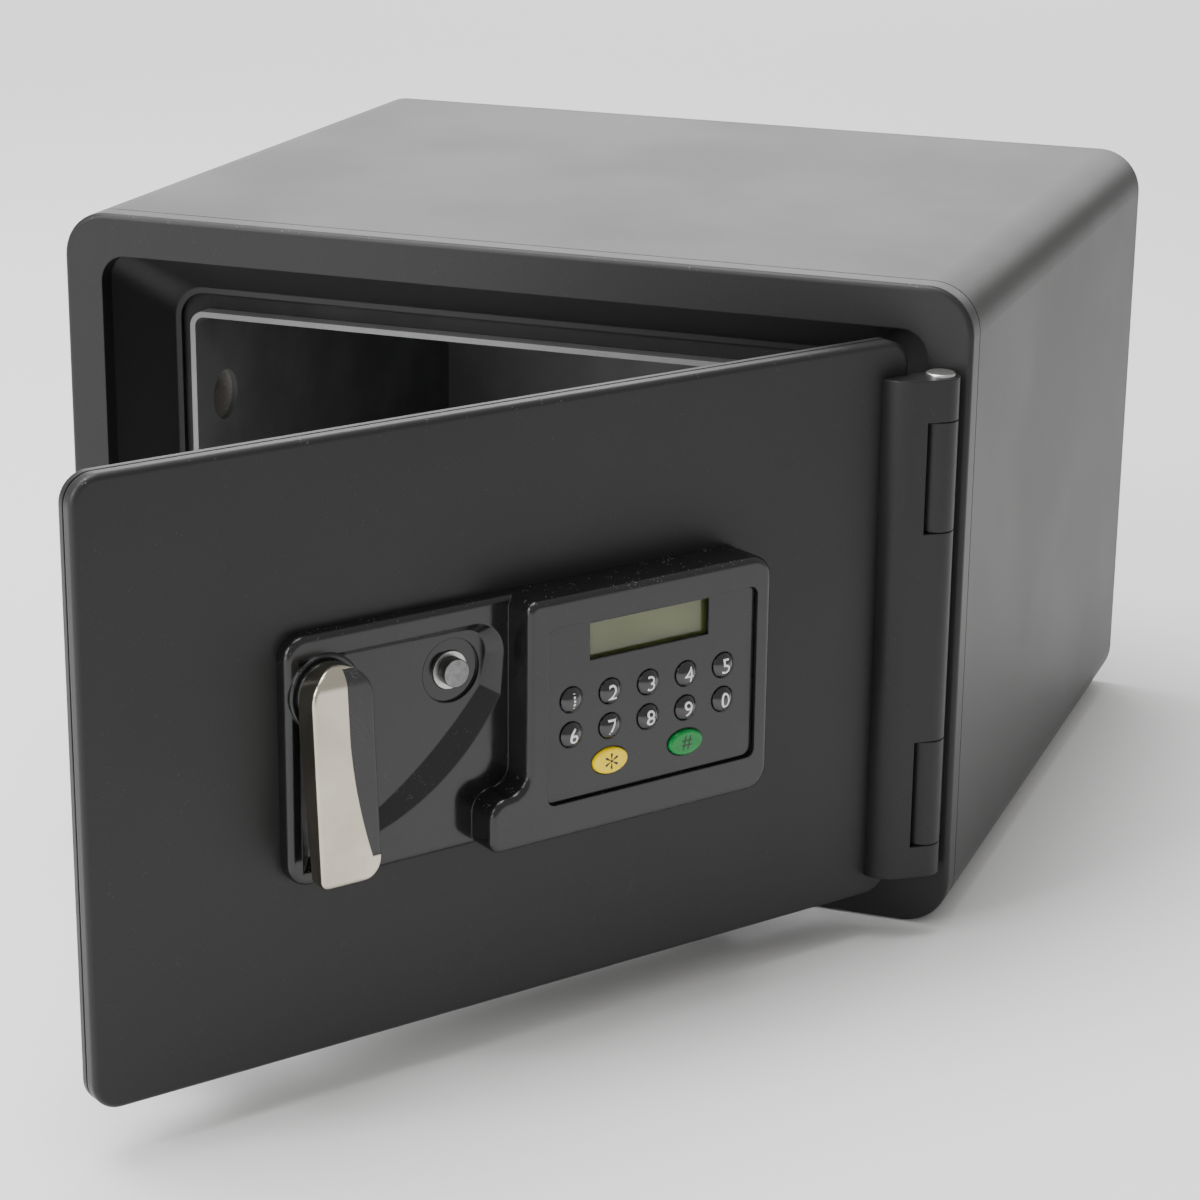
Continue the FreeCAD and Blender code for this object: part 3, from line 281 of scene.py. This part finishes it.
def make_scuffs():
    """Mask of thin straight scratches: long stretched cells in two directions, seen only where a
    slow noise is high."""
    group, given, out = new_effect(
        "fine_scuffs",
        [("Marks per metre", "NodeSocketFloat", 30.0)],
        [("Mask", "NodeSocketFloat")])
    place = object_place(group)
    masks = []
    for turn, stretch in ((0.6, 0.05), (-1.1, 0.08)):
        mapping = group.nodes.new("ShaderNodeMapping")
        mapping.inputs["Rotation"].default_value = (turn, turn * 0.7, turn * 1.3)
        mapping.inputs["Scale"].default_value = (1.0, stretch, 1.0)
        group.links.new(place, mapping.inputs["Vector"])
        cells = group.nodes.new("ShaderNodeTexVoronoi")
        cells.feature = "DISTANCE_TO_EDGE"
        group.links.new(mapping.outputs["Vector"], cells.inputs["Vector"])
        group.links.new(given.outputs["Marks per metre"], cells.inputs["Scale"])
        masks.append(range_node(group, cells.outputs["Distance"], 0.008, 0.002))
    both = math_node(group, "MAXIMUM", masks[0], masks[1])
    seen = range_node(group, noise_node(group, place, 23.0, 3.0, 0.6), 0.62, 0.74)
    group.links.new(math_node(group, "MULTIPLY", both, seen), out.inputs["Mask"])
    return group


GRAIN = make_grain()
EDGE_RUB = make_edge_rub()
DUST = make_dust()
SCUFFS = make_scuffs()


# ---------------------------------------------------------------- finishes
def shade(colour, factor, lift=0.0):
    """The colour made lighter or darker by a factor, then lifted; no part goes above 1."""
    return tuple(min(1.0, factor * part + lift) for part in colour)


def lay_over(tree, mask, amount, under, over):
    """Colour under, with over laid on it as far as the mask times the amount."""
    return mix_colours(tree, math_node(tree, "MULTIPLY", mask, amount), under, over)


def add_part(tree, value, mask, amount):
    """The value plus the mask times the amount."""
    return math_node(tree, "ADD", value, math_node(tree, "MULTIPLY", mask, amount))


def drive(tree, shader, colour, roughness, normal):
    """Links the three sockets that vary over every finish."""
    tree.links.new(colour, shader.inputs["Base Color"])
    tree.links.new(roughness, shader.inputs["Roughness"])
    tree.links.new(normal, shader.inputs["Normal"])


def painted_steel(name, base, roughness=0.42):
    """Satin powder coat: orange-peel bump, flecks, slow clouds of gloss, edges rubbed shinier."""
    material, tree, shader = new_material(name, base, roughness, specular=0.30)
    grain = place_effect(tree, GRAIN, Waves_per_metre=1500.0, Flecks_per_metre=5200.0,
                         Clouds_per_metre=7.0)
    rub = place_effect(tree, EDGE_RUB, Width=0.0009, Patches_per_metre=55.0)
    dust = place_effect(tree, DUST, Specks_per_metre=520.0, Reach=0.35)
    scuffs = place_effect(tree, SCUFFS, Marks_per_metre=26.0)
    clouded = mix_colours(tree, grain.outputs["Clouds"], shade(base, 0.95), shade(base, 1.05))
    flecked = lay_over(tree, grain.outputs["Flecks"], 0.45, clouded, shade(base, 2.6, lift=0.01))
    rubbed = lay_over(tree, rub.outputs["Mask"], 0.5, flecked, shade(base, 2.4, lift=0.015))
    scuffed = lay_over(tree, scuffs.outputs["Mask"], 0.06, rubbed, (0.20, 0.20, 0.20))
    dusted = mix_colours(tree, dust.outputs["Mask"], scuffed, (0.32, 0.31, 0.30))
    gloss = range_node(tree, grain.outputs["Clouds"], 0.0, 1.0, roughness + 0.02, roughness - 0.015)
    worn = math_node(tree, "SUBTRACT", gloss, math_node(tree, "MULTIPLY", rub.outputs["Mask"], 0.12))
    drive(tree, shader, dusted, add_part(tree, worn, dust.outputs["Mask"], 0.3),
          bump_node(tree, grain.outputs["Height"], strength=0.10, distance=0.0004,
                    under=rub.outputs["Soft normal"]))
    return material


def gloss_moulding(name, base, roughness=0.16, dusty=0.5, coat=0.0):
    """Polished black moulding: faint flow waves, fine scratches, dust specks on the upper faces."""
    material, tree, shader = new_material(name, base, roughness, coat=coat, coat_roughness=0.06)
    grain = place_effect(tree, GRAIN, Waves_per_metre=420.0, Flecks_per_metre=6200.0,
                         Clouds_per_metre=22.0)
    rub = place_effect(tree, EDGE_RUB, Width=0.0008, Patches_per_metre=90.0)
    dust = place_effect(tree, DUST, Specks_per_metre=950.0, Reach=dusty)
    scuffs = place_effect(tree, SCUFFS, Marks_per_metre=60.0)
    worn = lay_over(tree, rub.outputs["Mask"], 0.25, base, (0.07, 0.07, 0.07))
    scuffed = lay_over(tree, scuffs.outputs["Mask"], 0.10, worn, (0.22, 0.22, 0.22))
    dusted = mix_colours(tree, dust.outputs["Mask"], scuffed, (0.42, 0.41, 0.40))
    smeared = range_node(tree, grain.outputs["Clouds"], 0.0, 1.0, roughness - 0.04, roughness + 0.07)
    drive(tree, shader, dusted, add_part(tree, smeared, dust.outputs["Mask"], 0.5),
          bump_node(tree, grain.outputs["Height"], strength=0.05, distance=0.0003,
                    under=rub.outputs["Soft normal"]))
    return material


def plain_plastic(name, base, roughness, waves=2600.0, bump=0.25):
    """Fine-grained moulded plastic or rubber with slow clouds and slightly polished edges."""
    material, tree, shader = new_material(name, base, roughness, specular=0.45)
    grain = place_effect(tree, GRAIN, Waves_per_metre=waves, Flecks_per_metre=4200.0,
                         Clouds_per_metre=16.0)
    rub = place_effect(tree, EDGE_RUB, Width=0.0006, Patches_per_metre=80.0)
    clouded = mix_colours(tree, grain.outputs["Clouds"], shade(base, 0.82), shade(base, 1.18))
    rubbed = lay_over(tree, rub.outputs["Mask"], 0.4, clouded, shade(base, 2.0, lift=0.01))
    drive(tree, shader, rubbed,
          range_node(tree, grain.outputs["Clouds"], 0.0, 1.0, roughness + 0.06, roughness - 0.05),
          bump_node(tree, grain.outputs["Height"], strength=bump, distance=0.0003,
                    under=rub.outputs["Soft normal"]))
    return material


def brushed_metal(name, base, roughness):
    """Metal drawn in one direction: noise stretched along it moves the gloss and the normal."""
    material, tree, shader = new_material(name, base, roughness, metallic=1.0)
    mapping = tree.nodes.new("ShaderNodeMapping")
    mapping.inputs["Scale"].default_value = (60.0, 2600.0, 60.0)
    tree.links.new(object_place(tree), mapping.inputs["Vector"])
    lines = noise_node(tree, mapping.outputs["Vector"], 1.0, 3.0, 0.6)
    grain = place_effect(tree, GRAIN, Waves_per_metre=240.0, Flecks_per_metre=3000.0,
                         Clouds_per_metre=40.0)
    rub = place_effect(tree, EDGE_RUB, Width=0.0004, Patches_per_metre=140.0)
    drive(tree, shader,
          mix_colours(tree, grain.outputs["Clouds"], shade(base, 0.86), shade(base, 1.06)),
          range_node(tree, lines, 0.25, 0.75, roughness - 0.07, roughness + 0.10),
          bump_node(tree, lines, strength=0.12, distance=0.0001, under=rub.outputs["Soft normal"]))
    return material


def plated_lever():
    """Nickel plating on a casting: bright, slightly warm, with slow ripples and hairline scratches."""
    base = (0.48, 0.445, 0.365)
    material, tree, shader = new_material("plated_lever", base, 0.16, metallic=1.0)
    grain = place_effect(tree, GRAIN, Waves_per_metre=85.0, Flecks_per_metre=2600.0,
                         Clouds_per_metre=45.0)
    scuffs = place_effect(tree, SCUFFS, Marks_per_metre=110.0)
    rub = place_effect(tree, EDGE_RUB, Width=0.0006, Patches_per_metre=120.0)
    toned = mix_colours(tree, grain.outputs["Clouds"], (0.43, 0.395, 0.320), (0.53, 0.490, 0.405))
    hazed = range_node(tree, grain.outputs["Clouds"], 0.0, 1.0, 0.12, 0.22)
    drive(tree, shader,
          lay_over(tree, scuffs.outputs["Mask"], 0.35, toned, (0.40, 0.38, 0.36)),
          add_part(tree, hazed, scuffs.outputs["Mask"], 0.2),
          bump_node(tree, grain.outputs["Height"], strength=0.06, distance=0.0006,
                    under=rub.outputs["Soft normal"]))
    return material


def vector_node(tree, operation, vector, other=None):
    """One Vector Math node on a vector socket; other is three fixed numbers."""
    node = tree.nodes.new("ShaderNodeVectorMath")
    node.operation = operation
    tree.links.new(vector, node.inputs[0])
    if other is not None:
        node.inputs[1].default_value = tuple(other)
    return node


def turned_disc(name, centre, base):
    """Disc face turned on a lathe: fine rings round a centre line along the door's normal. Faces that do
    not look out along the door's normal get a near-black, non-metallic colour: painted shade on the disc's
    side."""
    material, tree, shader = new_material(name, base, 0.34, metallic=1.0)
    normal = tree.nodes.new("ShaderNodeTexCoord").outputs["Normal"]
    # Mask: 1 on faces that look out along the door's normal (turned metal), 0 on the side, which gets
    # painted shade.
    front_vs_painted_shade = range_node(tree, vector_node(tree, "DOT_PRODUCT", normal, OUT).outputs["Value"], 0.55, 0.75)
    away = vector_node(tree, "SUBTRACT", object_place(tree), centre)
    across = vector_node(tree, "CROSS_PRODUCT", away.outputs["Vector"], OUT)
    radius = vector_node(tree, "LENGTH", across.outputs["Vector"]).outputs["Value"]
    rings = math_node(tree, "SINE", math_node(tree, "MULTIPLY", radius, 2.0 * math.pi / RING_SPACING))
    grain = place_effect(tree, GRAIN, Waves_per_metre=5200.0, Flecks_per_metre=7200.0,
                         Clouds_per_metre=300.0)
    toned = mix_colours(tree, grain.outputs["Clouds"], shade(base, 0.72), shade(base, 1.05))
    rough = bump_node(tree, grain.outputs["Height"], strength=0.45, distance=0.0001)
    # Painted shade: the side is made non-metallic and coloured near-black instead of turned metal.
    tree.links.new(front_vs_painted_shade, shader.inputs["Metallic"])
    drive(tree, shader,
          mix_colours(tree, front_vs_painted_shade, (0.012, 0.012, 0.012), toned),
          range_node(tree, grain.outputs["Height"], 0.3, 0.7, 0.26, 0.44),
          bump_node(tree, rings, strength=0.35, distance=0.00006, under=rough))
    return material


def tinted_key(name, base, deep):
    """Glossy coloured key: the colour deepens in clouds and the sides are a shade darker."""
    material, tree, shader = new_material(name, base, 0.22, coat=0.15, coat_roughness=0.05,
                                          specular=0.3)
    grain = place_effect(tree, GRAIN, Waves_per_metre=600.0, Flecks_per_metre=5200.0,
                         Clouds_per_metre=260.0)
    rub = place_effect(tree, EDGE_RUB, Width=0.0007, Patches_per_metre=200.0)
    toned = lay_over(tree, grain.outputs["Clouds"], 0.5, base, deep)
    drive(tree, shader,
          lay_over(tree, rub.outputs["Mask"], 0.5, toned, deep),
          range_node(tree, grain.outputs["Clouds"], 0.0, 1.0, 0.10, 0.18),
          bump_node(tree, grain.outputs["Height"], strength=0.05, distance=0.0002,
                    under=rub.outputs["Soft normal"]))
    return material


def crystal_module():
    """Olive liquid-crystal face: fine darker flecks and a faint wash of tone."""
    base = (0.285, 0.310, 0.105)
    material, tree, shader = new_material("display_olive", base, 0.42, specular=0.2)
    grain = place_effect(tree, GRAIN, Waves_per_metre=7000.0, Flecks_per_metre=9000.0,
                         Clouds_per_metre=30.0)
    toned = mix_colours(tree, grain.outputs["Clouds"], (0.262, 0.288, 0.092), (0.305, 0.330, 0.118))
    drive(tree, shader,
          lay_over(tree, grain.outputs["Flecks"], 0.2, toned, (0.16, 0.17, 0.09)),
          range_node(tree, grain.outputs["Height"], 0.3, 0.7, 0.33, 0.43),
          bump_node(tree, grain.outputs["Height"], strength=0.08, distance=0.0001))
    return material


def clear_pane():
    """Clear plastic pane over the display, with faint haze."""
    material, tree, shader = new_material("display_pane", (0.95, 0.97, 0.94), 0.03)
    shader.inputs["Transmission Weight"].default_value = 1.0
    shader.inputs["IOR"].default_value = 1.46
    grain = place_effect(tree, GRAIN, Waves_per_metre=350.0, Flecks_per_metre=3000.0,
                         Clouds_per_metre=60.0)
    hazed = range_node(tree, grain.outputs["Clouds"], 0.0, 1.0, 0.02, 0.06)
    tree.links.new(hazed, shader.inputs["Roughness"])
    rippled = bump_node(tree, grain.outputs["Height"], strength=0.02, distance=0.0002)
    tree.links.new(rippled, shader.inputs["Normal"])
    return material


def mineral_fill():
    """Cast mineral filling: chalky, with pores and grit; the pores are coloured dark, which is painted
    shade inside them.
    """
    base = (0.43, 0.41, 0.37)
    material, tree, shader = new_material("mineral_fill", base, 0.9, specular=0.2)
    grain = place_effect(tree, GRAIN, Waves_per_metre=240.0, Flecks_per_metre=420.0,
                         Clouds_per_metre=30.0)
    pores = tree.nodes.new("ShaderNodeTexVoronoi")
    pores.inputs["Scale"].default_value = 190.0
    tree.links.new(object_place(tree), pores.inputs["Vector"])
    # Pore mask: it drives the dents of the bump and also the painted shade inside the pores.
    pore_and_pore_shade = range_node(tree, pores.outputs["Distance"], 0.16, 0.05)
    toned = mix_colours(tree, grain.outputs["Clouds"], (0.36, 0.34, 0.30), (0.50, 0.48, 0.44))
    gritty = lay_over(tree, grain.outputs["Flecks"], 0.6, toned, (0.62, 0.60, 0.56))
    cast = bump_node(tree, grain.outputs["Height"], strength=0.7, distance=0.0006)
    drive(tree, shader,
          # Painted shade: the pores are darkened towards a near-black brown.
          lay_over(tree, pore_and_pore_shade, 0.7, gritty, (0.16, 0.15, 0.13)),
          range_node(tree, grain.outputs["Height"], 0.3, 0.7, 0.80, 0.96),
          bump_node(tree, math_node(tree, "SUBTRACT", 1.0, pore_and_pore_shade), strength=0.8, distance=0.0008,
                    under=cast))
    return material


def circuit_board():
    """Green solder mask with straight copper tracks showing through as a lighter brick pattern."""
    material, tree, shader = new_material("circuit_board", (0.02, 0.13, 0.05), 0.32, coat=0.3)
    mapping = tree.nodes.new("ShaderNodeMapping")
    turn = math.atan2(RIGHT[1], RIGHT[0])
    mapping.inputs["Rotation"].default_value = (-math.pi / 2, 0.0, -turn)
    mapping.vector_type = "TEXTURE"
    tree.links.new(object_place(tree), mapping.inputs["Vector"])
    bricks = tree.nodes.new("ShaderNodeTexBrick")
    bricks.inputs["Scale"].default_value = 160.0
    bricks.inputs["Mortar Size"].default_value = 0.035
    bricks.inputs["Color1"].default_value = (0.018, 0.115, 0.045, 1.0)
    bricks.inputs["Color2"].default_value = (0.024, 0.150, 0.060, 1.0)
    bricks.inputs["Mortar"].default_value = (0.060, 0.260, 0.100, 1.0)
    tree.links.new(mapping.outputs["Vector"], bricks.inputs["Vector"])
    grain = place_effect(tree, GRAIN, Waves_per_metre=1800.0, Flecks_per_metre=3600.0,
                         Clouds_per_metre=80.0)
    drive(tree, shader,
          lay_over(tree, grain.outputs["Clouds"], 0.25, bricks.outputs["Color"], (0.010, 0.080, 0.030)),
          range_node(tree, grain.outputs["Clouds"], 0.0, 1.0, 0.28, 0.40),
          bump_node(tree, bricks.outputs["Fac"], strength=0.3, distance=0.0001))
    return material


def printed_ink(name, base, roughness=0.45):
    """Ink printed on a key: slightly uneven, so its tone varies a little."""
    material, tree, shader = new_material(name, base, roughness)
    grain = place_effect(tree, GRAIN, Waves_per_metre=3200.0, Flecks_per_metre=7800.0,
                         Clouds_per_metre=500.0)
    drive(tree, shader,
          mix_colours(tree, grain.outputs["Clouds"], shade(base, 0.86), base),
          range_node(tree, grain.outputs["Height"], 0.3, 0.7, roughness - 0.08, roughness + 0.08),
          bump_node(tree, grain.outputs["Height"], strength=0.15, distance=0.0001))
    return material


CAP_CENTRE = mesh_points("override_cap").mean(axis=0)

FINISHES = {
    "body_paint": painted_steel("charcoal_powder_coat", (0.0140, 0.0140, 0.0143)),
    "liner": plain_plastic("moulded_liner", (0.170, 0.170, 0.175), 0.46, waves=1800.0, bump=0.18),
    "seal": plain_plastic("jamb_strip", (0.010, 0.010, 0.010), 0.75, waves=1200.0, bump=0.5),
    "mineral": mineral_fill(),
    "gloss_black": gloss_moulding("gloss_black_moulding", (0.0075, 0.0075, 0.0080)),
    "key_black": gloss_moulding("gloss_black_key", (0.006, 0.006, 0.0065), roughness=0.09,
                                dusty=0.15, coat=0.5),
    "key_yellow": tinted_key("yellow_key", (1.0, 0.74, 0.0), (0.86, 0.56, 0.0)),
    "key_green": tinted_key("green_key", (0.0, 0.230, 0.042), (0.0, 0.140, 0.022)),
    "polished_nickel": plated_lever(),
    "steel": brushed_metal("drawn_steel", (0.52, 0.52, 0.51), 0.34),
    "brass": brushed_metal("turned_brass", (0.62, 0.44, 0.17), 0.30),
    "display": crystal_module(),
    "clear": clear_pane(),
    "board": circuit_board(),
    "inner_plastic": plain_plastic("inner_plastic", (0.018, 0.018, 0.019), 0.5),
    "cell": brushed_metal("battery_sleeve", (0.42, 0.43, 0.46), 0.32),
}
GRIP_BLACK = gloss_moulding("grip_black", (0.020, 0.020, 0.021), roughness=0.30, dusty=0.5)
TURNED_CAP = turned_disc("turned_cap", CAP_CENTRE, (0.22, 0.22, 0.22))
WHITE_INK = printed_ink("white_ink", (0.82, 0.83, 0.82))
BLACK_INK = printed_ink("black_ink", (0.012, 0.012, 0.010))


def dress(node, material):
    """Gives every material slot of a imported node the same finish."""
    slots = NODES[node].data.materials
    if not slots:
        slots.append(material)
    for place in range(len(slots)):
        slots[place] = material


# ---------------------------------------------------------------- printed legends
def flat_text(text, height):
    """A legend as a fine flat mesh, centred on zero and scaled to the height: x right, y up."""
    curve = bpy.data.curves.new("legend", "FONT")
    curve.body = text
    curve.align_x = "CENTER"
    curve.resolution_u = 6
    holder = bpy.data.objects.new("legend", curve)
    mesh = bpy.data.meshes.new_from_object(holder)
    bpy.data.objects.remove(holder)
    work = bmesh.new()
    work.from_mesh(mesh)
    bmesh.ops.remove_doubles(work, verts=work.verts, dist=1e-5)
    bmesh.ops.triangulate(work, faces=work.faces)
    for _ in range(2):
        long_edges = [e for e in work.edges if e.calc_length() > TEXT_STEP]
        bmesh.ops.subdivide_edges(work, edges=long_edges, cuts=1)
        bmesh.ops.triangulate(work, faces=work.faces)
    work.to_mesh(mesh)
    work.free()
    flat = np.empty(len(mesh.vertices) * 3, np.float32)
    mesh.vertices.foreach_get("co", flat)
    points = flat.reshape(-1, 3).astype(float)
    low, high = points.min(axis=0), points.max(axis=0)
    points = (points - (low + high) / 2) * (height / (high[1] - low[1]))
    return mesh, points


def dome_drop(points):
    """How far the dome of a digit key has fallen at each point: a ball whose cap is KEY_DOME high
    over a circle of KEY_HALF."""
    ball = (KEY_HALF ** 2 + KEY_DOME ** 2) / (2 * KEY_DOME)
    reach = np.minimum(np.hypot(points[:, 0], points[:, 1]), KEY_HALF)
    return ball - np.sqrt(ball ** 2 - reach ** 2)


def oval_drop(points):
    """How far the crown of an oval key has fallen at each point: flat, then the quarter circle of
    the rounding, measured inwards from the oval's own rim."""
    narrow = OVAL_HALF[1]
    reach = np.hypot(points[:, 0] / OVAL_HALF[0], points[:, 1] / narrow) * narrow
    past = np.clip(reach - (narrow - OVAL_ROUND), 0.0, OVAL_ROUND)
    return OVAL_ROUND - np.sqrt(OVAL_ROUND ** 2 - past ** 2)


def print_legend(name, node, body, text, height, drop, material):
    """A legend printed on a key's crown: each point lies PRINT_LIFT above the crown there."""
    mesh, points = flat_text(text, height)
    low, high = door_box(node)
    centre = (low + high)[[0, 2]] / 2
    out = high[1] - drop(points) + PRINT_LIFT
    places = np.stack([centre[0] + points[:, 0], out, centre[1] + points[:, 1]], axis=1)
    mesh.vertices.foreach_set("co", from_door(places).astype(np.float32).ravel())
    mesh.update()
    mesh.materials.clear()
    mesh.materials.append(material)
    mesh.name = name
    face_out(mesh)
    piece = bpy.data.objects.new(name, mesh)
    bpy.context.scene.collection.objects.link(piece)
    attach(piece, body)


def face_out(mesh):
    """Turns a flat mesh over if its faces look into the door."""
    normals = np.empty(len(mesh.polygons) * 3, np.float32)
    mesh.polygons.foreach_get("normal", normals)
    if (normals.reshape(-1, 3) @ OUT).mean() < 0:
        mesh.flip_normals()


def make_legends():
    """White digits on the ten round keys, a black star and hash on the two oval ones."""
    for digit in "0123456789":
        print_legend(f"legend_{digit}", f"key_{digit}", f"button_{digit}", digit, DIGIT_HEIGHT, dome_drop,
                     WHITE_INK)
    print_legend("legend_star", "key_star", "button_star", "*", MARK_HEIGHT, oval_drop,
                 BLACK_INK)
    print_legend("legend_hash", "key_hash", "button_hash", "#", HASH_HEIGHT, oval_drop,
                 BLACK_INK)


# ---------------------------------------------------------------- floor, light and camera
def make_floor():
    """A wide pale floor in one square."""
    half = FLOOR_HALF
    corners = [(-half, -half, 0.0), (half, -half, 0.0), (half, half, 0.0), (-half, half, 0.0)]
    mesh = bpy.data.meshes.new("floor")
    mesh.from_pydata(corners, [], [(0, 1, 2, 3)])
    material, _, _ = new_material("floor_white", (0.86, 0.86, 0.86), 0.9, specular=0.1)
    mesh.materials.append(material)
    floor = bpy.data.objects.new("floor", mesh)
    bpy.context.scene.collection.objects.link(floor)


def soft_light(name, place, aim, width, height, power):
    """A rectangular soft light at a place, facing an aim point."""
    lamp = bpy.data.lights.new(name, "AREA")
    lamp.shape = "RECTANGLE"
    lamp.size = width
    lamp.size_y = height
    lamp.energy = power
    holder = bpy.data.objects.new(name, lamp)
    holder.location = place
    holder.rotation_mode = "QUATERNION"
    holder.rotation_quaternion = (Vector(aim) - Vector(place)).to_track_quat("-Z", "Y")
    bpy.context.scene.collection.objects.link(holder)


def make_light():
    """A dim even surround, a wide light behind on the left for the sheen of the top, one in front on
    the left for the fronts, a low one that reaches into the cavity, and a soft one above."""
    world = bpy.data.worlds.new("surround")
    bpy.context.scene.world = world
    world.use_nodes = True
    world.node_tree.nodes["Background"].inputs["Color"].default_value = (1.0, 0.99, 0.97, 1.0)
    world.node_tree.nodes["Background"].inputs["Strength"].default_value = SURROUND
    for name, setting in LIGHTS.items():
        soft_light(name, *setting)


def make_camera():
    """Seen from the front right, 18 degrees down, with a long lens."""
    yaw, pitch, roll = (math.radians(turn) for turn in (CAMERA_YAW, CAMERA_PITCH, CAMERA_ROLL))
    ahead = Vector((-math.sin(yaw) * math.cos(pitch), math.cos(yaw) * math.cos(pitch), -math.sin(pitch)))
    side = Vector((math.cos(yaw), math.sin(yaw), 0.0))
    upright = side.cross(ahead)
    turned = math.cos(roll) * side + math.sin(roll) * upright
    top = math.cos(roll) * upright - math.sin(roll) * side
    lens = bpy.data.cameras.new("camera")
    lens.sensor_width = 36.0
    lens.lens = CAMERA_LENS
    lens.clip_start, lens.clip_end = 0.01, 100.0
    camera = bpy.data.objects.new("camera", lens)
    pose = Matrix((turned, top, -ahead)).transposed().to_4x4()
    pose.translation = Vector(CAMERA_PLACE)
    camera.matrix_world = pose
    bpy.context.scene.collection.objects.link(camera)
    bpy.context.scene.camera = camera


def dress_nodes():
    """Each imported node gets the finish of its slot; the cap and the lever's grip have their own."""
    for node, packed in NODES.items():
        present = packed.data.materials
        label = present[0].name if present and present[0] else ""
        if label.split(".")[0] in FINISHES:
            dress(node, FINISHES[label.split(".")[0]])
    dress("override_cap", TURNED_CAP)
    dress("handle_grip", GRIP_BLACK)


dress_nodes()
make_legends()
make_floor()
make_light()
make_camera()
